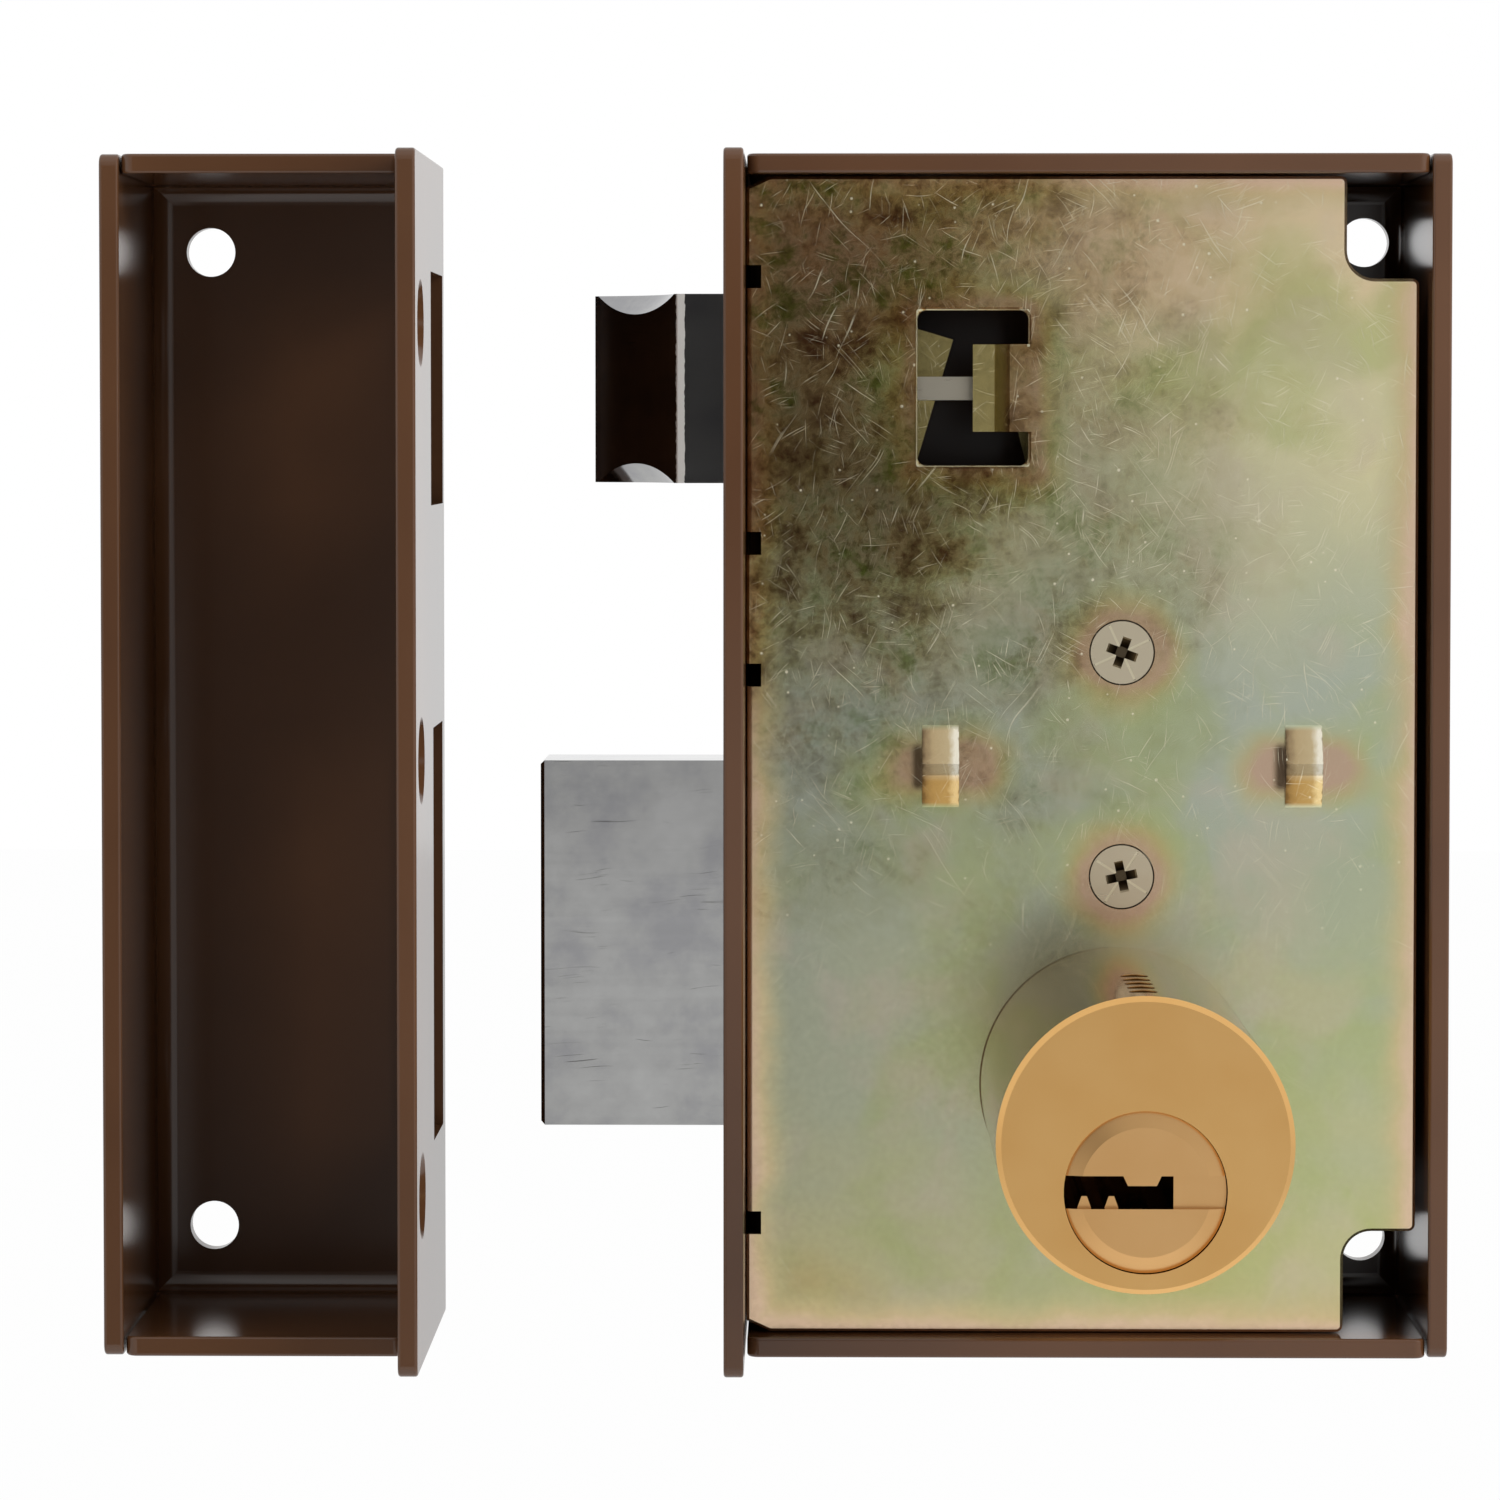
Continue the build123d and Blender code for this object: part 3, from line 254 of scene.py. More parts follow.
# %% Places that are ringed
screw_low, screw_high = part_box("plate_screws")
screw_radius = (screw_high.x - screw_low.x) / 2
screw_x = screw_low.x + screw_radius
upper_screw = Vector((screw_x, 0, screw_high.z - screw_radius))
lower_screw = Vector((screw_x, 0, screw_low.z + screw_radius))
left_bridge = Vector((-18.1, 0, 32.5)) * mm
right_bridge = Vector((18.9, 0, 32.5)) * mm
bridge_half = Vector((3.0, 0, 0)) * mm
bridge_ring = 1.0 * mm
window_middle = Vector((-14.85, 0, 71.05)) * mm
window_half = Vector((5.65, 0, 7.9)) * mm
no_size = Vector((0, 0, 0))

# Each place has its middle, half its straight part, and the radius round that.
ringed_places = (
    (upper_screw, no_size, screw_radius),
    (lower_screw, no_size, screw_radius),
    (left_bridge, bridge_half, bridge_ring),
    (right_bridge, bridge_half, bridge_ring),
    (window_middle, window_half, 0.0),
)
print(len(ringed_places), "places are ringed")


def outside_distance(tree, flat, middle, half, radius):
    """Distance from a rounded box, measured in the plane of the plate."""
    offset = add(tree, "ShaderNodeVectorMath", {"operation": "SUBTRACT"}, {0: flat, 1: middle})
    folded = add(tree, "ShaderNodeVectorMath", {"operation": "ABSOLUTE"}, {0: offset})
    beyond = add(tree, "ShaderNodeVectorMath", {"operation": "SUBTRACT"}, {0: folded, 1: half})
    outside = add(tree, "ShaderNodeVectorMath", {"operation": "MAXIMUM"}, {
        0: beyond, 1: no_size})
    reach = add(tree, "ShaderNodeVectorMath", {"operation": "LENGTH"}, {0: outside})
    return add(tree, "ShaderNodeMath", {"operation": "SUBTRACT"}, {0: reach, 1: radius})


def rim_distance(tree, flat):
    """Distance inwards from the nearest side of the plate."""
    middle = (plate_low + plate_high) / 2 * in_plane
    half = (plate_high - plate_low) / 2 * in_plane
    offset = add(tree, "ShaderNodeVectorMath", {"operation": "SUBTRACT"}, {0: flat, 1: middle})
    folded = add(tree, "ShaderNodeVectorMath", {"operation": "ABSOLUTE"}, {0: offset})
    inside = add(tree, "ShaderNodeVectorMath", {"operation": "SUBTRACT"}, {0: half, 1: folded})
    sides = add(tree, "ShaderNodeSeparateXYZ", {}, {0: inside}).outputs
    return add(tree, "ShaderNodeMath", {"operation": "MINIMUM"}, {0: sides["X"], 1: sides["Z"]})


# %% [markdown]
# A ring fades out as it gets further away. Two ramps hold the tints, from near to far, and a
# noise makes the rings wavy, as the bath left them.

# %% Rings and rim
ring_reach = 5.2 * mm
ring_strength = 0.75
ring_tones = ((0.15, "#cfa88c"), (0.38, "#cbb67a"), (0.75, "#bdc680"))
rim_reach = 5 * mm
rim_strength = 0.85
rim_tones = ((0.1, "#f4d2b4"), (0.35, "#e3cc9c"), (0.8, "#cfca98"))
tint_full_to = 0.15
ripple_mm = 7
ripple_wide = 1.8 * mm
print("rings reach", ring_reach / mm, "mm and the rim's tint", rim_reach / mm, "mm")


def tinted(tree, tone, distance, reach, tones, strength):
    """Lays tints over a tone that fade out with distance."""
    share = add(tree, "ShaderNodeMapRange", {}, {"Value": distance, "From Max": reach})
    tint = add(tree, "ShaderNodeValToRGB", {"stops": tones}, {"Fac": share})
    fade = add(tree, "ShaderNodeMapRange", eased, {
        "Value": share, "From Min": tint_full_to, "From Max": 1.0,
        "To Min": strength, "To Max": 0.0})
    return add(tree, "ShaderNodeMix", cover, {"Factor": fade, "A": tone, "B": tint})


def ringed(tree, place, flat, tone):
    """Tints the plate round its screws, bridges and window, and along its rim."""
    ripple = add(tree, "ShaderNodeTexNoise", {}, {
        "Vector": place, "Scale": per(ripple_mm), "Detail": 4})
    shift = add(tree, "ShaderNodeMapRange", {}, {
        "Value": ripple, "To Min": -ripple_wide, "To Max": ripple_wide})
    nearest = None
    for middle, half, radius in ringed_places:
        distance = outside_distance(tree, flat, middle, half, radius)
        if nearest:
            distance = add(tree, "ShaderNodeMath", {"operation": "MINIMUM"}, {
                0: nearest, 1: distance})
        nearest = distance
    wavy = add(tree, "ShaderNodeMath", {"operation": "ADD"}, {0: nearest, 1: shift})
    tone = tinted(tree, tone, wavy, ring_reach, ring_tones, ring_strength)
    wavy_rim = add(tree, "ShaderNodeMath", {"operation": "ADD"}, {
        0: rim_distance(tree, flat), 1: shift})
    return tinted(tree, tone, wavy_rim, rim_reach, rim_tones, rim_strength)


# %% [markdown]
# The parts are tumbled together in the plating barrel, so the film is full of short fine
# scratches that run every way and of bright specks where it is broken through. One scratch
# layer is a noise that is turned, bent a little, stretched along one side and cut near its
# crest. A second noise breaks the lines up. A real scratch is a few hundredths of a millimetre
# wide, and these are drawn at about a tenth, so that they show.

# %% Scratches and specks
scratch_width_mm = 0.09
scratch_cut = 0.74
scratch_soft = 0.04
scratch_strength = 0.66
bend_mm = 9
bend_wide = 3 * mm
break_mm = 4
break_low = 0.5
break_high = 0.6
turns_a_seed = 7
speck_cell_mm = 1.3
speck_radius = 0.16
speck_spread = 0.22
speck_strength = 0.85

# Each layer has its direction in degrees and the length of its lines in millimetres.
scratch_layers = ((8, 5), (33, 4), (62, 9), (81, 5), (104, 4), (127, 12), (152, 6))
print("the scratches run", len(scratch_layers), "ways")


def scratch_layer(tree, place, turn, long_mm):
    """Thin broken lines in one direction."""
    turned = add(tree, "ShaderNodeMapping", {}, {
        "Vector": place, "Rotation": (0, math.radians(turn), 0)})
    bent = add(tree, "ShaderNodeTexNoise", {}, {
        "Vector": place, "Scale": per(bend_mm), "Detail": 1})
    sway = add(tree, "ShaderNodeVectorMath", {"operation": "SCALE"}, {
        0: bent.outputs["Color"], "Scale": bend_wide})
    curved = add(tree, "ShaderNodeVectorMath", {"operation": "ADD"}, {0: turned, 1: sway})
    drawn = add(tree, "ShaderNodeVectorMath", {"operation": "MULTIPLY"}, {
        0: curved, 1: (per(long_mm), per(long_mm), per(scratch_width_mm))})
    noise = add(tree, "ShaderNodeTexNoise", seeded, {
        "Vector": drawn, "W": turn / turns_a_seed, "Scale": 1.0, "Detail": 0})
    line = add(tree, "ShaderNodeMapRange", {}, {
        "Value": noise, "From Min": scratch_cut, "From Max": scratch_cut + scratch_soft})
    breaks = add(tree, "ShaderNodeTexNoise", seeded, {
        "Vector": place, "W": turn, "Scale": per(break_mm), "Detail": 1})
    kept = add(tree, "ShaderNodeMapRange", {}, {
        "Value": breaks, "From Min": break_low, "From Max": break_high,
        "To Max": scratch_strength})
    return add(tree, "ShaderNodeMath", {"operation": "MULTIPLY"}, {0: line, 1: kept})


def all_scratches(tree, place):
    """Every scratch layer and the specks, as one mask from 0 to 1."""
    cells = add(tree, "ShaderNodeTexVoronoi", {}, {
        "Vector": place, "Scale": per(speck_cell_mm)}).outputs
    chance = add(tree, "ShaderNodeSeparateColor", {}, {"Color": cells["Color"]}).outputs["Red"]
    size = add(tree, "ShaderNodeMath", {"operation": "MULTIPLY_ADD"}, {
        0: chance, 1: speck_spread, 2: cells["Distance"]})
    mask = add(tree, "ShaderNodeMapRange", {}, {
        "Value": size, "From Min": speck_radius, "From Max": speck_radius / 2,
        "To Max": speck_strength})
    for turn, long_mm in scratch_layers:
        layer = scratch_layer(tree, place, turn, long_mm)
        mask = add(tree, "ShaderNodeMath", {"operation": "MAXIMUM"}, {0: mask, 1: layer})
    return mask


# %% [markdown]
# The bath dried last in the upper left corner, and left the plate grainy and blotched with
# brown and green there. The plate is darker there too: partly a real stain and partly a painted
# shade and painted reflection of the dim room. A ragged distance from that corner picks the
# darkening, and the grain and the blotches fade out with it.

# %% The dark corner: stain and painted shade
dark_corner_middle = Vector((-33, 0, 78)) * mm
dark_corner_half = Vector((2, 0, 14)) * mm
dark_corner_reach = 50 * mm
dark_corner_ragged = 14 * mm
dark_corner_ragged_mm = 11
stain_and_shade_tones = ((0.0, "#afa089"), (0.1, "#b5a98d"), (0.2, "#b9b192"), (0.32, "#cac9aa"),
               (0.5, "#e4e5d6"), (0.75, "#f3f2ea"), (1.0, "#ffffff"))
marked_to = 0.2
clean_from = 0.8
blotch_mm = 5
blotch_tones = ((0.34, "#9c7d70"), (0.47, "#f4e8dc"), (0.54, "#ffffff"), (0.66, "#a9bd84"))
grain_tones = ((0.32, "#b8b2a6"), (0.55, "#ffffff"))
print("the stain fades out over", dark_corner_reach / mm, "mm")


def stained_and_shaded(tree, place, flat, grain, tone):
    """Darkens a tone towards the upper left corner, partly a stain and partly a painted shade, with
    blotches and grain.
    """
    distance = outside_distance(tree, flat, dark_corner_middle, dark_corner_half, 0.0)
    ragged = add(tree, "ShaderNodeTexNoise", {}, {
        "Vector": place, "Scale": per(dark_corner_ragged_mm), "Detail": 6, "Roughness": 0.7})
    shift = add(tree, "ShaderNodeMapRange", {}, {
        "Value": ragged, "From Min": 0.3, "From Max": 0.7,
        "To Min": -dark_corner_ragged, "To Max": dark_corner_ragged})
    edge = add(tree, "ShaderNodeMath", {"operation": "ADD"}, {0: distance, 1: shift})
    share = add(tree, "ShaderNodeMapRange", {}, {"Value": edge, "From Max": dark_corner_reach})
    # painted shade and reflection together with the real stain: a ramp that darkens towards the
    # corner
    shade = add(tree, "ShaderNodeValToRGB", {"stops": stain_and_shade_tones}, {"Fac": share})
    tone = add(tree, "ShaderNodeMix", multiply_mix, {"Factor": 1.0, "A": tone, "B": shade})
    fading = add(tree, "ShaderNodeMapRange", {}, {
        "Value": share, "From Min": marked_to, "From Max": clean_from,
        "To Min": 1.0, "To Max": 0.0})
    spots = add(tree, "ShaderNodeTexNoise", {}, {
        "Vector": place, "Scale": per(blotch_mm), "Detail": 5, "Roughness": 0.7})
    blotch = add(tree, "ShaderNodeValToRGB", {"stops": blotch_tones}, {"Fac": spots})
    tone = add(tree, "ShaderNodeMix", multiply_mix, {"Factor": fading, "A": tone, "B": blotch})
    pits = add(tree, "ShaderNodeValToRGB", {"stops": grain_tones}, {"Fac": grain})
    return add(tree, "ShaderNodeMix", multiply_mix, {"Factor": fading, "A": tone, "B": pits})


# %% [markdown]
# The two bridges are pushed up out of the plate. Their crowns stand proud and are rubbed
# bright, with a painted shade on their left sides, a painted highlight along their right edges
# and a warmer painted reflection at the foot, where they slope back. The cut on the left of each
# gapes, and a painted shadow shows it as a dark slit. Both are dressed at once: X is wrapped, so
# that what is drawn at one bridge comes back at the other.

# %% The bridges
plate_front = screw_low.y
slit_middle = Vector((-2.3, 0, 32.4)) * mm
slit_half = Vector((0, 0, 1.7)) * mm
slit_reach = 1.1 * mm
slit_strength = 0.9
slit_shadow_tones = ((0.2, "#4b3c2a"), (0.7, "#7d6c50"))
crown_high = 0.25 * mm
crown_half = 1.95 * mm
crown_from = -0.75 * crown_half
crown_to = 1.25 * crown_half
crown_pit_mm = 0.9
crown_shade_and_highlight_tones = ((0.0, "#5d4b34"), (0.12, "#9a8463"), (0.3, "#b9a37c"), (0.7, "#c4b18a"),
               (0.86, "#f3ecd8"), (0.96, "#f3ecd8"), (1.0, "#8d7a58"))
foot_from = left_bridge.z - 0.5 * mm
foot_to = left_bridge.z - 1.5 * mm
foot_reflection_colour = "#efd9aa"
print("the bridges lie", round((right_bridge.x - left_bridge.x) / mm, 2), "mm apart")


def bridges(tree, sides, tone):
    """Painted shadow in the slits left of the two bridges, and their crowns with painted shade, a
    painted highlight and a painted reflection at the foot.
    """
    apart = right_bridge.x - left_bridge.x
    offset = add(tree, "ShaderNodeMath", {"operation": "SUBTRACT"}, {
        0: sides["X"], 1: left_bridge.x})
    across = add(tree, "ShaderNodeMath", {"operation": "WRAP"}, {
        0: offset, 1: apart / 2, 2: -apart / 2})
    near = add(tree, "ShaderNodeCombineXYZ", {}, {"X": across, "Z": sides["Z"]})
    slit = outside_distance(tree, near, slit_middle, slit_half, 0.0)
    # painted shadow: the dark slit left of each bridge
    tone = tinted(tree, tone, slit, slit_reach, slit_shadow_tones, slit_strength)
    pits = add(tree, "ShaderNodeTexNoise", {}, {
        "Vector": near, "Scale": per(crown_pit_mm), "Detail": 3})
    ragged = add(tree, "ShaderNodeMath", {"operation": "MULTIPLY_ADD"}, {
        0: pits, 1: crown_half / 2, 2: across})
    width = add(tree, "ShaderNodeMapRange", {}, {
        "Value": ragged, "From Min": crown_from, "From Max": crown_to})
    # rubbed bright crown, with painted shade on its left and a painted highlight on its right edge
    crown = add(tree, "ShaderNodeValToRGB", {"stops": crown_shade_and_highlight_tones}, {"Fac": width})
    below = add(tree, "ShaderNodeMapRange", {}, {
        "Value": sides["Z"], "From Min": foot_from, "From Max": foot_to})
    # painted reflection: the foot of each bridge is warmed
    reflected_foot = add(tree, "ShaderNodeMix", multiply_mix, {
        "Factor": below, "A": crown, "B": linear(foot_reflection_colour)})
    proud = add(tree, "ShaderNodeMapRange", {}, {
        "Value": sides["Y"], "From Min": plate_front, "From Max": plate_front - crown_high})
    return add(tree, "ShaderNodeMix", cover, {"Factor": proud, "A": tone, "B": reflected_foot})


# %% [markdown]
# The punched sides of the window catch the light, but for the root of the tongue, which is bent
# and not cut: a thin painted highlight. A painted shadow darkens the seam round each sunk screw,
# and the foot of the barrel on its left.

# %% Edges and seams: painted highlight and painted shadow
edge_width = 0.14 * mm
edge_near = 0.9 * edge_width
edge_highlight_colour = "#efe8c6"
tongue_root = Vector((-9.2, 0, 70.8)) * mm
tongue_half = Vector((1.5, 0, 4.45)) * mm
seam_width = 0.16 * mm
seam_shadow_colour = "#3b3226"
barrel_low, barrel_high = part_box("cylinder_body")
barrel_middle = (barrel_low + barrel_high) / 2 * in_plane
barrel_radius = (barrel_high.x - barrel_low.x) / 2
foot_shadow_width = 0.09 * mm
foot_shadow_colour = "#6b5c40"
print("the barrel's radius is", round(barrel_radius / mm, 2), "mm")


def punched_edge_highlight(tree, flat, tone):
    """A painted highlight: a bright line along the cut sides of the window."""
    opening = outside_distance(tree, flat, window_middle, window_half - edge_width * in_plane, 0.0)
    edge = add(tree, "ShaderNodeMath", {"operation": "COMPARE"}, {
        0: opening, 1: edge_width, 2: edge_near})
    root = outside_distance(tree, flat, tongue_root, tongue_half, 0.0)
    clear = add(tree, "ShaderNodeMath", {"operation": "GREATER_THAN"}, {0: root, 1: 0.0})
    cut = add(tree, "ShaderNodeMath", {"operation": "MULTIPLY"}, {0: edge, 1: clear})
    # painted highlight along the window's cut edge
    return add(tree, "ShaderNodeMix", cover, {"Factor": cut, "A": tone, "B": linear(edge_highlight_colour)})


def seam_shadows(tree, flat, sides, tone):
    """Painted shadow: dark rings round the screws, and a thin one that fades out rightwards under
    the barrel.
    """
    for middle in (upper_screw, lower_screw):
        gap = outside_distance(tree, flat, middle, no_size, screw_radius + seam_width)
        seam = add(tree, "ShaderNodeMath", {"operation": "LESS_THAN"}, {0: gap, 1: 0.0})
        # painted shadow in the seam round each screw
        tone = add(tree, "ShaderNodeMix", cover, {
            "Factor": seam, "A": tone, "B": linear(seam_shadow_colour)})
    gap = outside_distance(tree, flat, barrel_middle, no_size, barrel_radius + foot_shadow_width)
    foot = add(tree, "ShaderNodeMath", {"operation": "LESS_THAN"}, {0: gap, 1: 0.0})
    leftward = add(tree, "ShaderNodeMapRange", {}, {
        "Value": sides["X"], "From Min": barrel_middle.x,
        "From Max": barrel_middle.x - barrel_radius})
    foot_shadow = add(tree, "ShaderNodeMath", {"operation": "MULTIPLY"}, {0: foot, 1: leftward})
    # painted shadow at the barrel's foot, on its left only
    return add(tree, "ShaderNodeMix", cover, {"Factor": foot_shadow, "A": tone, "B": linear(foot_shadow_colour)})


# %% [markdown]
# Put together: the film and its rings, the corner's stain and painted shade, the painted edge
# highlight and seam shadows, and the scratches on top. The upper part of the plate, which the
# other parts rubbed against, is more scratched than the lower. All this is on the front: what
# lies deeper is plain olive. The film is thin and the zinc under it bright, so the whole is a
# soft metal gleam and not a paint.

# %% Yellow-passivated zinc
zinc_metallic = 0.95
zinc_roughness = 0.22
zinc_roughness_swing = 0.08
grain_mm = 0.7
grain_height = 0.006 * mm
grain_strength = 0.6
scratch_colour = "#fbf3d6"
scratched_least = 0.14
scratched_from = 0 * mm
scratched_to = 52 * mm
deep_from = 0.2 * mm
deep_to = 0.9 * mm
deep_colour = "#b3a46c"


def passivated_zinc():
    material, tree, shader, place = new_material("yellow passivated zinc")
    flat = flattened(tree, place)
    sides = add(tree, "ShaderNodeSeparateXYZ", {}, {0: place}).outputs
    grain = add(tree, "ShaderNodeTexNoise", {}, {
        "Vector": place, "Scale": per(grain_mm), "Detail": 4, "Roughness": 0.65})
    tone = ringed(tree, place, flat, slow_film(tree, place))
    tone = stained_and_shaded(tree, place, flat, grain, tone)
    tone = punched_edge_highlight(tree, flat, tone)
    deep = add(tree, "ShaderNodeMapRange", {}, {
        "Value": sides["Y"], "From Min": plate_front + deep_from,
        "From Max": plate_front + deep_to})
    tone = add(tree, "ShaderNodeMix", cover, {"Factor": deep, "A": tone, "B": linear(deep_colour)})
    tone = bridges(tree, sides, tone)
    tone = seam_shadows(tree, flat, sides, tone)
    rubbed = add(tree, "ShaderNodeMapRange", eased, {
        "Value": sides["Z"], "From Min": scratched_from, "From Max": scratched_to,
        "To Min": scratched_least})
    marks = add(tree, "ShaderNodeMath", {"operation": "MULTIPLY"}, {
        0: all_scratches(tree, place), 1: rubbed})
    tone = add(tree, "ShaderNodeMix", cover, {
        "Factor": marks, "A": tone, "B": linear(scratch_colour)})
    tree.links.new(live(tone.outputs, "Result"), shader.inputs["Base Color"])

    dull = add(tree, "ShaderNodeMapRange", {}, {
        "Value": grain, "To Min": zinc_roughness + zinc_roughness_swing,
        "To Max": zinc_roughness - zinc_roughness_swing})
    tree.links.new(dull.outputs[0], shader.inputs["Roughness"])
    rough = add(tree, "ShaderNodeMath", {"operation": "MULTIPLY"}, {0: grain, 1: rubbed})
    relief = add(tree, "ShaderNodeMath", {"operation": "SUBTRACT"}, {0: rough, 1: marks})
    bump = add(tree, "ShaderNodeBump", {}, {
        "Height": relief, "Distance": grain_height, "Strength": grain_strength})
    tree.links.new(bump.outputs["Normal"], shader.inputs["Normal"])
    shader.inputs["Metallic"].default_value = zinc_metallic
    return material


zinc = passivated_zinc()
wear(("mechanism_plate", "latch_tail", "spring_anchor", "latch_lever"), zinc)
print("the plate's finish uses", len(zinc.node_tree.nodes), "nodes")

# %% [markdown]
# The cylinder is turned from brass bar. A lathe leaves rings on the face, finer than a tenth
# of a millimetre, so the rings here are drawn a little coarser than the tool leaves them. The
# side is smoother, and mirrors the plate so well that it almost disappears. Which way the
# surface faces tells the two apart. The walls of the keyway and of the pin chambers are
# painted dark, a painted shade for these deep hollows.

# %% Turned brass
brass_colour = "#e5b877"
plug_colour = "#e0b47c"
pin_colour = "#ee9c5e"
brass_roughness = 0.3
plug_roughness = 0.26
side_roughness = 0.05
side_facing = -0.2
face_facing = -0.6
tool_mark_mm = 0.3
tool_mark_height = 0.0012 * mm
tool_mark_on_side = 0.08
haze_mm = 7
haze_roughness = 0.06
haze_colour = "#f4e9d8"
hollow_depth = 0.08 * mm
hollow_from = 1 * mm
hollow_shade_colour = "#6b4523"


def turned_brass(name, colour, roughness, axis_node):
    """Brass with tool rings about the axis of one node, and painted shade in its hollows."""
    material, tree, shader, place = new_material(name)
    low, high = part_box(axis_node)
    axis = (low + high) / 2
    centred = add(tree, "ShaderNodeMapping", {}, {
        "Vector": place, "Location": (-axis.x, 0, -axis.z)})
    across = flattened(tree, centred)
    radius = add(tree, "ShaderNodeVectorMath", {"operation": "LENGTH"}, {0: across})
    depth = add(tree, "ShaderNodeSeparateXYZ", {}, {0: centred}).outputs["Y"]
    along = add(tree, "ShaderNodeMath", {"operation": "ADD"}, {0: radius, 1: depth})
    thread = add(tree, "ShaderNodeCombineXYZ", {}, {"X": along})
    rings = add(tree, "ShaderNodeTexNoise", {}, {
        "Vector": thread, "Scale": per(tool_mark_mm), "Detail": 2})
    facing = add(tree, "ShaderNodeTexCoord").outputs["Normal"]
    outward = add(tree, "ShaderNodeSeparateXYZ", {}, {0: facing}).outputs["Y"]
    on_face = {"Value": outward, "From Min": side_facing, "From Max": face_facing}
    marked = add(tree, "ShaderNodeMapRange", {}, {**on_face, "To Min": tool_mark_on_side})
    bump = add(tree, "ShaderNodeBump", {}, {
        "Height": rings, "Distance": tool_mark_height, "Strength": marked})
    tree.links.new(bump.outputs["Normal"], shader.inputs["Normal"])
    haze = add(tree, "ShaderNodeTexNoise", {}, {
        "Vector": place, "Scale": per(haze_mm), "Detail": 3})
    dull = add(tree, "ShaderNodeMapRange", {}, {
        **on_face, "To Min": side_roughness, "To Max": roughness})
    rough = add(tree, "ShaderNodeMath", {"operation": "MULTIPLY_ADD"}, {
        0: haze, 1: haze_roughness, 2: dull})
    tree.links.new(rough.outputs[0], shader.inputs["Roughness"])
    tarnish = add(tree, "ShaderNodeMix", multiply_mix, {
        "Factor": haze, "A": linear(colour), "B": linear(haze_colour)})
    # painted shade: bores sunk below the outer radius and behind the face are darkened
    sunk = add(tree, "ShaderNodeMath", {"operation": "LESS_THAN"}, {
        0: radius, 1: (high.x - low.x) / 2 - hollow_depth})
    inside = add(tree, "ShaderNodeMath", {"operation": "GREATER_THAN"}, {
        0: depth, 1: low.y + hollow_from})
    shaded_hollow = add(tree, "ShaderNodeMath", {"operation": "MULTIPLY"}, {0: sunk, 1: inside})
    tone = add(tree, "ShaderNodeMix", cover, {
        "Factor": shaded_hollow, "A": tarnish, "B": linear(hollow_shade_colour)})
    tree.links.new(live(tone.outputs, "Result"), shader.inputs["Base Color"])
    shader.inputs["Metallic"].default_value = 1.0
    return material


wear(("cylinder_body", "turn_bush"),
     turned_brass("turned brass", brass_colour, brass_roughness, "cylinder_body"))
wear(("cylinder_plug",),
     turned_brass("plug brass", plug_colour, plug_roughness, "cylinder_plug"))
wear(("key_pins", "driver_pins"),
     turned_brass("pin brass", pin_colour, brass_roughness, "key_pins"))

# %% [markdown]
# Both bolts are chromium plated, which is so bright a mirror that it takes its tone from the
# room. It copies what lies under it: the deadbolt was drawn through a die and keeps long level
# lines, a few of them deep, under a faint cloudy bloom. The latch has a rough ridge where two
# ground faces meet, painted bright: partly a worn edge, partly a painted highlight.

# %% Bright chromium
chrome_tones = ((0.35, "#b2b2b1"), (0.6, "#b5b5b4"))
chrome_dull = 0.1
chrome_bright = 0.06
draw_long_mm = 60
draw_fine_mm = 1.1
draw_height = 0.00025 * mm
bloom_mm = 11
bloom_tones = ((0.38, "#e2e2e6"), (0.5, "#f4f4f4"), (0.62, "#ffffff"))
scored_turn = 2
scored_mm = 5
scored_colour = "#3f3d3b"
ridge_back = 9.35 * mm
ridge_width = 0.9 * mm
ridge_grit_mm = 0.5
ridge_wander = 0.3 * mm
ridge_highlight_colour = "#f8f5f0"
ridge_roughness = 0.55


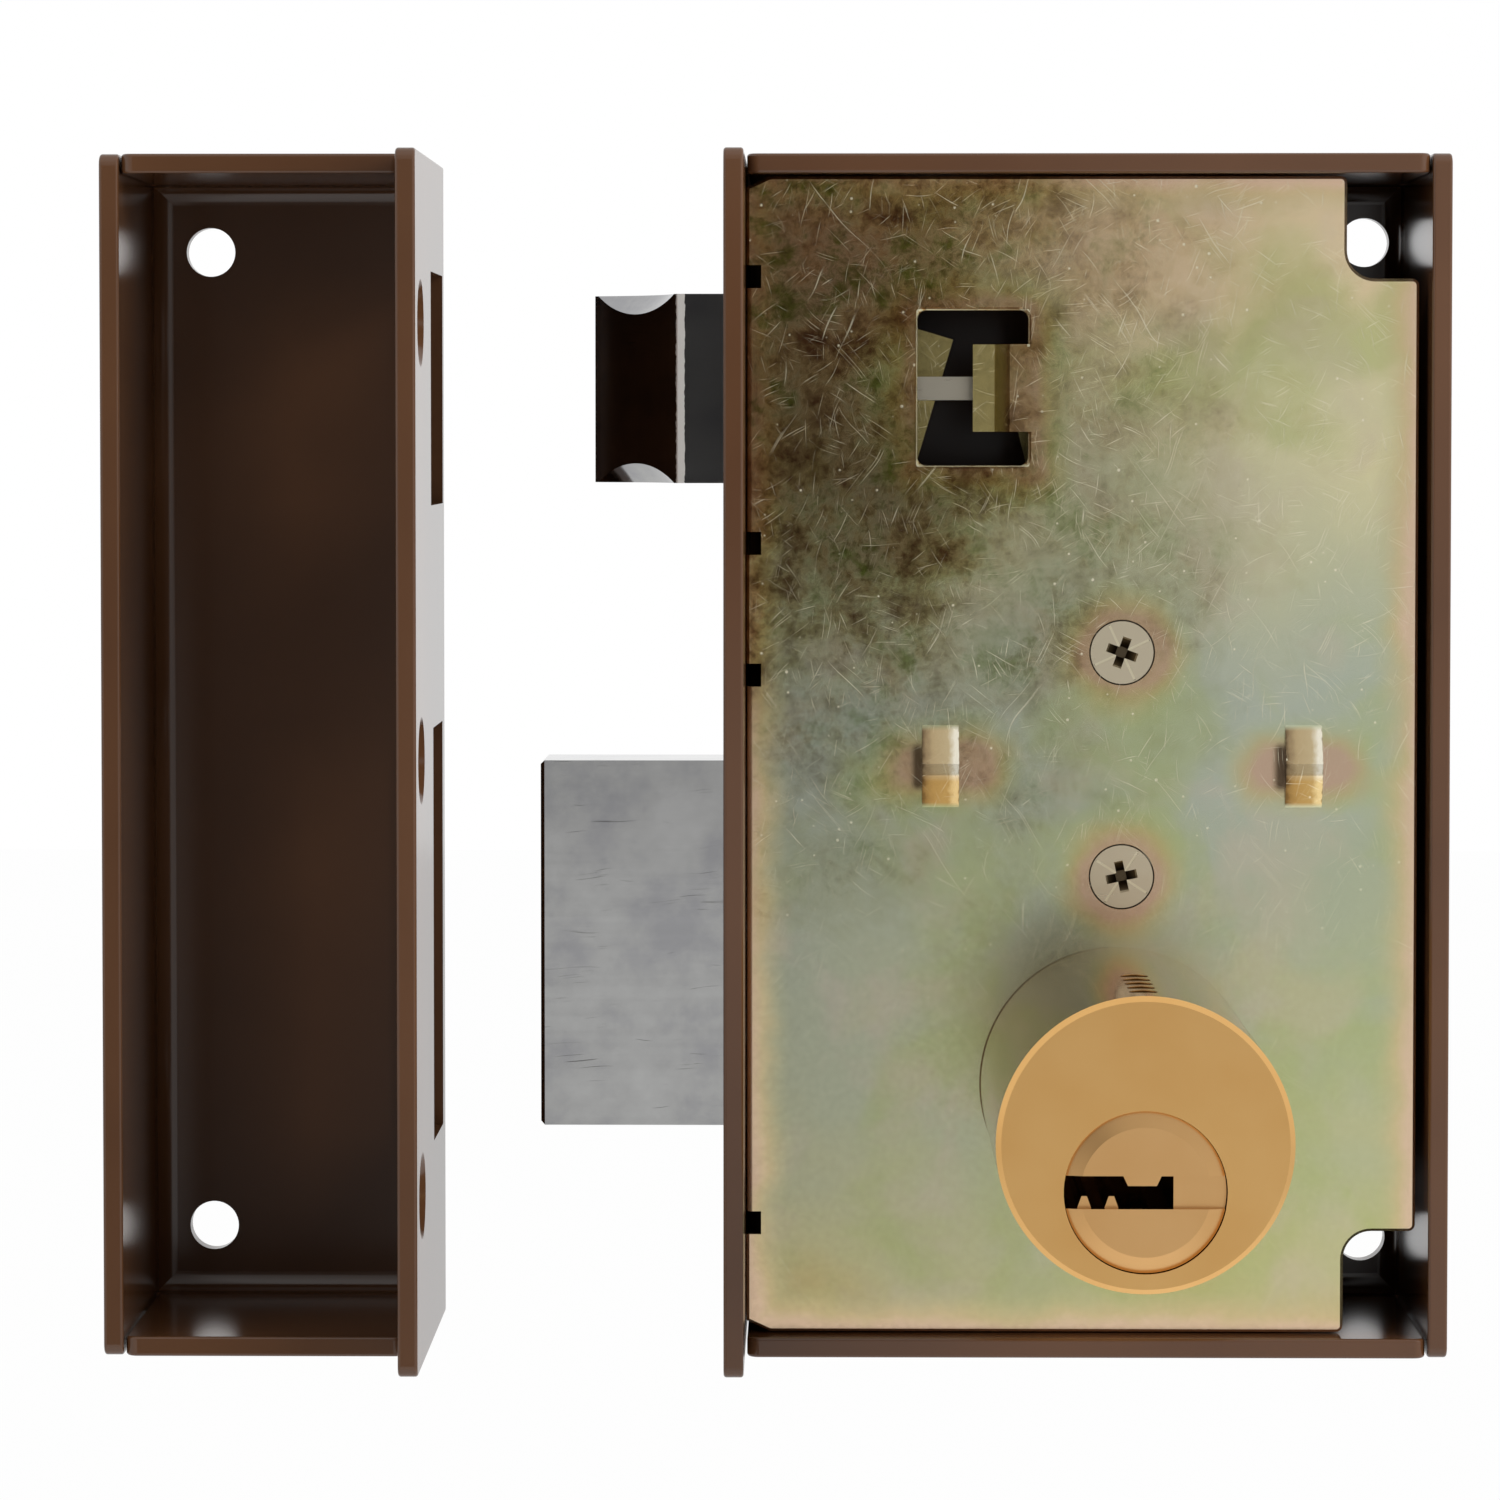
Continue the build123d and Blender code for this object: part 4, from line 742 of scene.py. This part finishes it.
def chromium(name, ridge_x=None):
    """Chromium over drawn metal, with an optional rough band along one value of X, painted bright
    as a worn edge and a painted highlight.
    """
    material, tree, shader, place = new_material(name)
    drawn = add(tree, "ShaderNodeMapping", {}, {
        "Vector": place, "Scale": (per(draw_long_mm), per(draw_long_mm), per(draw_fine_mm))})
    lines = add(tree, "ShaderNodeTexNoise", {}, {"Vector": drawn, "Scale": 1.0, "Detail": 3})
    bump = add(tree, "ShaderNodeBump", {}, {
        "Height": lines, "Distance": draw_height, "Strength": 1.0})
    tree.links.new(bump.outputs["Normal"], shader.inputs["Normal"])
    colour = add(tree, "ShaderNodeValToRGB", {"stops": chrome_tones}, {"Fac": lines})
    haze = add(tree, "ShaderNodeTexNoise", {}, {
        "Vector": place, "Scale": per(bloom_mm), "Detail": 6, "Roughness": 0.65})
    bloom = add(tree, "ShaderNodeValToRGB", {"stops": bloom_tones}, {"Fac": haze})
    colour = add(tree, "ShaderNodeMix", multiply_mix, {"Factor": 1.0, "A": colour, "B": bloom})
    scored = scratch_layer(tree, place, scored_turn, scored_mm)
    colour = add(tree, "ShaderNodeMix", cover, {
        "Factor": scored, "A": colour, "B": linear(scored_colour)})
    rough = add(tree, "ShaderNodeMapRange", {}, {
        "Value": lines, "To Min": chrome_dull, "To Max": chrome_bright})
    if ridge_x is not None:
        x = add(tree, "ShaderNodeSeparateXYZ", {}, {0: place}).outputs["X"]
        grit = add(tree, "ShaderNodeTexNoise", {}, {
            "Vector": place, "Scale": per(ridge_grit_mm), "Detail": 3})
        wavy = add(tree, "ShaderNodeMath", {"operation": "MULTIPLY_ADD"}, {
            0: grit, 1: ridge_wander, 2: x})
        off = add(tree, "ShaderNodeMath", {"operation": "SUBTRACT"}, {0: wavy, 1: ridge_x})
        far = add(tree, "ShaderNodeMath", {"operation": "ABSOLUTE"}, {0: off})
        near = add(tree, "ShaderNodeMath", {"operation": "LESS_THAN"}, {
            0: far, 1: ridge_width / 2})
        # rough ridge painted bright: a worn edge and a painted highlight
        colour = add(tree, "ShaderNodeMix", cover, {
            "Factor": near, "A": colour, "B": linear(ridge_highlight_colour)})
        rough = add(tree, "ShaderNodeMix", {}, {"Factor": near, "A": rough, "B": ridge_roughness})
    tree.links.new(live(colour.outputs, "Result"), shader.inputs["Base Color"])
    tree.links.new(live(rough.outputs, "Result"), shader.inputs["Roughness"])
    shader.inputs["Metallic"].default_value = 1.0
    return material


latch_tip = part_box("latch_bolt")[0].x
wear(("deadbolt",), chromium("bright chromium"))
wear(("latch_bolt",), chromium("latch chromium", latch_tip + ridge_back))

# %% [markdown]
# The rest is plain metal with a short grain, which spreads a highlight along it: cold-rolled
# bar for the tails and posts, bright zinc on the screws, drawn wire for the clips and springs,
# and dull brass for the plugs that close the pin chambers.

# %% Steel
grain_long = 12
steel_swing = 0.25
steel_grain_height = 0.003 * mm


def steel(name, colour, roughness, grain_mm):
    """Metal with a short grain along X."""
    material, tree, shader, place = new_material(name)
    grain = add(tree, "ShaderNodeMapping", {}, {
        "Vector": place, "Scale": (per(grain_mm * grain_long), per(grain_mm), per(grain_mm))})
    noise = add(tree, "ShaderNodeTexNoise", {}, {"Vector": grain, "Scale": 1.0, "Detail": 3})
    rough = add(tree, "ShaderNodeMapRange", {}, {
        "Value": noise, "To Min": roughness * (1 - steel_swing),
        "To Max": roughness * (1 + steel_swing)})
    bump = add(tree, "ShaderNodeBump", {}, {
        "Height": noise, "Distance": steel_grain_height, "Strength": 1.0})
    tree.links.new(rough.outputs[0], shader.inputs["Roughness"])
    tree.links.new(bump.outputs["Normal"], shader.inputs["Normal"])
    shader.inputs["Base Color"].default_value = linear(colour)
    shader.inputs["Metallic"].default_value = 1.0
    return material


wire_steel = steel("spring wire", "#9b9b9d", roughness=0.28, grain_mm=0.3)
wear(("lever_clip", "plug_clip", "turn_clip"), wire_steel)
wear(("plate_posts", "latch_rod", "latch_pins", "deadbolt_tail", "deadbolt_pins",
      "release_stud", "tailpiece", "drive_spindle"),
     steel("cold rolled steel", "#b9b2a2", roughness=0.3, grain_mm=0.4))
wear(("chamber_plugs",), steel("dull brass", "#75603c", roughness=0.5, grain_mm=0.3))

# %% [markdown]
# The screws' crosses are worn. Their shallow ticks are painted bright, a painted highlight, and
# the deep cross is painted dark, a painted shade, so the depth below the head's face picks the
# tone.

# %% Screws
screw_colour = "#d6cab0"
recess_deep = 1.0 * mm
recess_shade_and_highlight_tones = ((0.06, screw_colour), (0.1, "#e9dfc2"), (0.17, "#e9dfc2"), (0.24, "#8a7c64"),
                (1.0, "#5a4f3e"))


def screw_finish():
    material = steel("bright zinc", screw_colour, roughness=0.3, grain_mm=0.5)
    tree = material.node_tree
    place = add(tree, "ShaderNodeTexCoord").outputs["Object"]
    depth = add(tree, "ShaderNodeSeparateXYZ", {}, {0: place}).outputs["Y"]
    below = add(tree, "ShaderNodeMath", {"operation": "SUBTRACT"}, {0: depth, 1: plate_front})
    share = add(tree, "ShaderNodeMapRange", {}, {"Value": below, "From Max": recess_deep})
    # painted highlight on the shallow ticks and painted shade deep in the cross
    colour = add(tree, "ShaderNodeValToRGB", {"stops": recess_shade_and_highlight_tones}, {"Fac": share})
    tree.links.new(colour.outputs["Color"], tree.nodes["Principled BSDF"].inputs["Base Color"])
    return material


wear(("plate_screws", "cylinder_screws", "knob_screw"), screw_finish())

# %% [markdown]
# A compression spring is a coil whose first and last turns lie close, so that it stands square
# on its seat. One Geometry Nodes tree winds it from named sizes and sets out as many copies as
# are asked for: one for the latch, and five small ones in a row for the pins. A spiral along Z
# is opened out in its middle, swept with the wire, copied along a line, and turned to its axis.

# %% A tree that winds springs
closed_share = 0.09
closed_pitch = 2.1
steps_a_turn = 24
wire_sides = 10
spring_inputs = (("Wire radius", "Float"), ("Coil radius", "Float"), ("Length", "Float"),
                 ("Turns", "Float"), ("Copies", "Int"), ("Step", "Vector"),
                 ("Start", "Vector"), ("Turned", "Vector"), ("Finish", "Material"))


def winding_tree():
    """Geometry Nodes that wind compression springs about Z and lay them out in a row."""
    tree = bpy.data.node_groups.new("compression springs", "GeometryNodeTree")
    face = tree.interface
    for label, kind in spring_inputs:
        face.new_socket(label, in_out="INPUT", socket_type="NodeSocket" + kind)
    face.new_socket("Springs", in_out="OUTPUT", socket_type="NodeSocketGeometry")
    given = tree.nodes.new("NodeGroupInput").outputs
    shut = add(tree, "ShaderNodeMath", {"operation": "MULTIPLY"}, {
        0: given["Wire radius"], 1: given["Turns"]})
    shut_length = add(tree, "ShaderNodeMath", {"operation": "MULTIPLY"}, {
        0: shut, 1: closed_pitch})
    opening = add(tree, "ShaderNodeMath", {"operation": "SUBTRACT"}, {
        0: given["Length"], 1: shut_length})
    spiral = add(tree, "GeometryNodeCurveSpiral", {}, {
        "Resolution": steps_a_turn, "Rotations": given["Turns"],
        "Start Radius": given["Coil radius"], "End Radius": given["Coil radius"],
        "Height": shut_length})
    travelled = add(tree, "GeometryNodeSplineParameter")
    opened = add(tree, "ShaderNodeMapRange", {}, {
        "Value": travelled.outputs["Factor"], "From Min": closed_share,
        "From Max": 1 - closed_share})
    lift = add(tree, "ShaderNodeMath", {"operation": "MULTIPLY"}, {0: opened, 1: opening})
    raised = add(tree, "ShaderNodeCombineXYZ", {}, {"Z": lift})
    coil = add(tree, "GeometryNodeSetPosition", {}, {"Geometry": spiral, "Offset": raised})
    section = add(tree, "GeometryNodeCurvePrimitiveCircle", {}, {
        "Resolution": wire_sides, "Radius": given["Wire radius"]})
    wound = add(tree, "GeometryNodeCurveToMesh", {}, {
        "Curve": coil, "Profile Curve": section, "Fill Caps": True})
    turned = add(tree, "GeometryNodeTransform", {}, {
        "Geometry": wound, "Rotation": given["Turned"]})
    row = add(tree, "GeometryNodeMeshLine", {}, {
        "Count": given["Copies"], "Start Location": given["Start"], "Offset": given["Step"]})
    copies = add(tree, "GeometryNodeInstanceOnPoints", {}, {"Points": row, "Instance": turned})
    solid = add(tree, "GeometryNodeRealizeInstances", {}, {"Geometry": copies})
    smooth = add(tree, "GeometryNodeSetShadeSmooth", {}, {"Geometry": solid})
    dressed = add(tree, "GeometryNodeSetMaterial", {}, {
        "Geometry": smooth, "Material": given["Finish"]})
    add(tree, "NodeGroupOutput", {}, {"Springs": dressed})
    return tree


def grown(name, tree, values):
    """Runs a Geometry Nodes tree with the named values, and returns its result as a plain mesh."""
    holder = bpy.data.objects.new(name, bpy.data.meshes.new(name))
    bpy.context.scene.collection.objects.link(holder)
    modifier = holder.modifiers.new(name, "NODES")
    modifier.node_group = tree
    for item in tree.interface.items_tree:
        if item.name in values:
            modifier[item.identifier] = values[item.name]
    graph = bpy.context.evaluated_depsgraph_get()
    mesh = bpy.data.meshes.new_from_object(holder.evaluated_get(graph))
    holder.modifiers.remove(modifier)
    holder.data = mesh
    mesh.name = name
    print(name, "has", len(mesh.polygons), "faces")
    return holder


wound_springs = winding_tree()
print("the winding tree has", len(wound_springs.nodes), "nodes")

# %% [markdown]
# The latch spring pushes on a lug of the latch's tail and stands against a bracket on the
# case. On the real lock, when the latch is drawn back, its free end follows and the bracket
# end stays, so the coil closes up towards the bracket. Here it is wound once, at rest, and
# kept with the fixed parts.

# %% The latch spring
latch_wire = 0.4 * mm
latch_turns = 12.0


def wind_latch_spring():
    low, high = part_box("latch_spring")
    middle = (low + high) / 2
    length = high.x - low.x
    spring = grown("latch_spring_coil", wound_springs, {
        "Wire radius": latch_wire, "Coil radius": (high.z - low.z) / 2 - latch_wire,
        "Length": length - 2 * latch_wire, "Turns": latch_turns,
        "Copies": 1, "Step": (0, 0, 0), "Start": (low.x + latch_wire, middle.y, middle.z),
        "Turned": (0, math.radians(90), 0), "Finish": wire_steel})
    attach(spring, "fixed_parts")
    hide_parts("latch_spring")
    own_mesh(spring)


wind_latch_spring()

# %% [markdown]
# Each pair of pins is pushed down by a spring of its own, no thicker than a matchstick.

# %% The pin springs
pin_wire = 0.19 * mm
pin_turns = 6.0
pin_springs_in_row = 5


def wind_pin_springs():
    low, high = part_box("pin_springs")
    outer = (high.x - low.x) / 2
    pitch = (high.y - low.y - 2 * outer) / (pin_springs_in_row - 1)
    springs = grown("pin_spring_coils", wound_springs, {
        "Wire radius": pin_wire, "Coil radius": outer - pin_wire,
        "Length": high.z - low.z - 2 * pin_wire, "Turns": pin_turns,
        "Copies": pin_springs_in_row, "Step": (0, pitch, 0),
        "Start": ((low.x + high.x) / 2, low.y + outer, low.z + pin_wire),
        "Turned": (0, 0, 0), "Finish": wire_steel})
    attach(springs, "fixed_parts")
    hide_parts("pin_springs")


wind_pin_springs()

# %% [markdown]
# A photographer lights bright metal by choosing what it reflects. Here that is a white room
# that is dimmer on the camera's side, so that flat faces turned to the camera show their
# colour. The room is plain white where the camera itself sees it.

# %% The room
front_from = -0.55
front_to = -0.95
front_mirrored = 0.62
front_light = 0.12
side_light = 0.8
white = linear("#ffffff")


def white_world():
    world = bpy.data.worlds.new("white room")
    bpy.context.scene.world = world
    world.use_nodes = True
    tree = world.node_tree
    background = tree.nodes["Background"]
    rays = add(tree, "ShaderNodeLightPath").outputs
    direction = add(tree, "ShaderNodeTexCoord").outputs["Generated"]
    depth = add(tree, "ShaderNodeSeparateXYZ", {}, {0: direction}).outputs["Y"]
    front = {"Value": depth, "From Min": front_from, "From Max": front_to}
    mirrored = add(tree, "ShaderNodeMapRange", eased, {
        **front, "To Min": 1.0, "To Max": front_mirrored})
    lit = add(tree, "ShaderNodeMapRange", eased, {
        **front, "To Min": side_light, "To Max": front_light})
    sharp = add(tree, "ShaderNodeMath", {"operation": "MAXIMUM"}, {
        0: rays["Is Glossy Ray"], 1: rays["Is Transmission Ray"]})
    light = add(tree, "ShaderNodeMix", {}, {"Factor": sharp, "A": lit, "B": mirrored})
    strength = add(tree, "ShaderNodeMix", {}, {
        "Factor": rays["Is Camera Ray"], "A": light, "B": 1.0})
    tree.links.new(live(strength.outputs, "Result"), background.inputs["Strength"])
    background.inputs["Color"].default_value = white


white_world()
print("the room has", len(bpy.context.scene.world.node_tree.nodes), "nodes")

# %% [markdown]
# The dark front of the lens is what blackens the middle of a mirror-flat piece. A dark card
# stands to the left of the lens, so that the enamel floor of the strike looks deep. Both are
# seen in reflections only.

# %% The lens front and a card
camera_place = Vector((-30.9, -540, 66.8)) * mm
screen_colour = "#1b1817"
lens_radius = 0.055
lens_above_camera = 0.015
lens_behind_camera = 0.02
lens_sides = 48
card_near = -0.072
card_far = -0.17
card_low = -0.24
card_high = 0.11


def dark_screen(name, corners):
    mesh = bpy.data.meshes.new(name)
    mesh.from_pydata(corners, [], [list(range(len(corners)))])
    screen = bpy.data.objects.new(name, mesh)
    bpy.context.scene.collection.objects.link(screen)
    material, _, shader, _ = new_material(name)
    shader.inputs["Base Color"].default_value = linear(screen_colour)
    mesh.materials.append(material)
    screen.visible_camera = False
    screen.visible_diffuse = False
    screen.visible_shadow = False
    print("the", name, "has", len(corners), "corners")


lens_centre = camera_place + Vector((0, -lens_behind_camera, lens_above_camera))
lens_turns = [2 * math.pi * i / lens_sides for i in range(lens_sides)]
dark_screen("lens front", [
    lens_centre + lens_radius * Vector((math.cos(turn), 0, math.sin(turn)))
    for turn in lens_turns])
dark_screen("side card", [camera_place + Vector(corner) for corner in (
    (card_near, 0, card_low), (card_near, 0, card_high),
    (card_far, 0, card_high), (card_far, 0, card_low))])

# %% [markdown]
# The floor is a plain pale sheet well below the lock, where its shadow falls softly. Most of
# what the camera sees of it is plain white, so that it runs into the background. Metal sees a
# smaller share of that white, because the rest of its mirror image would only glare.

# %% The floor
floor_drop = 0.45
floor_size = 12
floor_colour = "#f9f9f9"
floor_roughness = 0.9
floor_white_share = 0.96
floor_mirrored_share = 0.25


def pale_floor():
    bpy.ops.mesh.primitive_plane_add(size=floor_size, location=(0, 0, -floor_drop))
    floor = bpy.context.object
    floor.name = "pale floor"
    material, tree, shader, _ = new_material("pale floor")
    shader.inputs["Base Color"].default_value = linear(floor_colour)
    shader.inputs["Roughness"].default_value = floor_roughness
    rays = add(tree, "ShaderNodeLightPath").outputs
    sharp = add(tree, "ShaderNodeMath", {"operation": "MAXIMUM"}, {
        0: rays["Is Glossy Ray"], 1: rays["Is Transmission Ray"]})
    mirrored = add(tree, "ShaderNodeMath", {"operation": "MULTIPLY"}, {
        0: sharp, 1: floor_mirrored_share})
    share = add(tree, "ShaderNodeMath", {"operation": "MULTIPLY_ADD"}, {
        0: rays["Is Camera Ray"], 1: floor_white_share, 2: mirrored})
    glow = add(tree, "ShaderNodeEmission", {}, {"Color": white, "Strength": 1.0})
    mixed = add(tree, "ShaderNodeMixShader", {}, {0: share, 1: shader, 2: glow})
    tree.links.new(mixed.outputs[0], tree.nodes["Material Output"].inputs["Surface"])
    floor.data.materials.append(material)
    print("the floor lies", floor_drop, "m below the cylinder's axis")


pale_floor()

# %% [markdown]
# A soft lamp on the right models the edges, and a larger and weaker one fills in from the upper
# left. Neither shows in the gloss, where it would be a glaring white square.

# %% Lamps
# Each lamp has its name, its place, the side of its square and its watts.
lamps = (("right softbox", (0.46, -0.36, 0.24), 0.4, 4.2),
         ("upper left fill", (-0.75, -0.4, 0.6), 0.6, 2))
lit_middle = sum((Vector(corner) for corner in cad_box), Vector()) / 2


def soft_lamp(name, place, size, watts):
    lamp = bpy.data.lights.new(name, "AREA")
    lamp.size = size
    lamp.energy = watts
    holder = bpy.data.objects.new(name, lamp)
    holder.location = place
    holder.rotation_euler = (lit_middle - Vector(place)).to_track_quat("-Z", "Y").to_euler()
    holder.visible_glossy = False
    bpy.context.scene.collection.objects.link(holder)
    print("the", name, "gives", watts, "watts")


for lamp_values in lamps:
    soft_lamp(*lamp_values)

# %% [markdown]
# The photograph is taken with a long lens, a little above the middle of the lock and left of
# its centre. Its distance follows from how much smaller the strike's floor looks than its rim.

# %% Camera
focal_px = 5327
image_px = 1500
sensor_mm = 36
tilt_shift = -0.08
nearest_seen = 0.01
camera_aim = Vector((-37.5, 0, 46.5)) * mm


def long_lens():
    data = bpy.data.cameras.new("long lens")
    data.sensor_width = sensor_mm
    data.lens = focal_px / image_px * sensor_mm
    data.shift_y = tilt_shift
    data.clip_start = nearest_seen
    holder = bpy.data.objects.new("long lens", data)
    holder.location = camera_place
    holder.rotation_euler = (camera_aim - camera_place).to_track_quat("-Z", "Y").to_euler()
    bpy.context.scene.collection.objects.link(holder)
    bpy.context.scene.camera = holder
    print("the lens is", round(data.lens, 1), "mm long")


long_lens()
bpy.context.scene.view_settings.view_transform = "Standard"
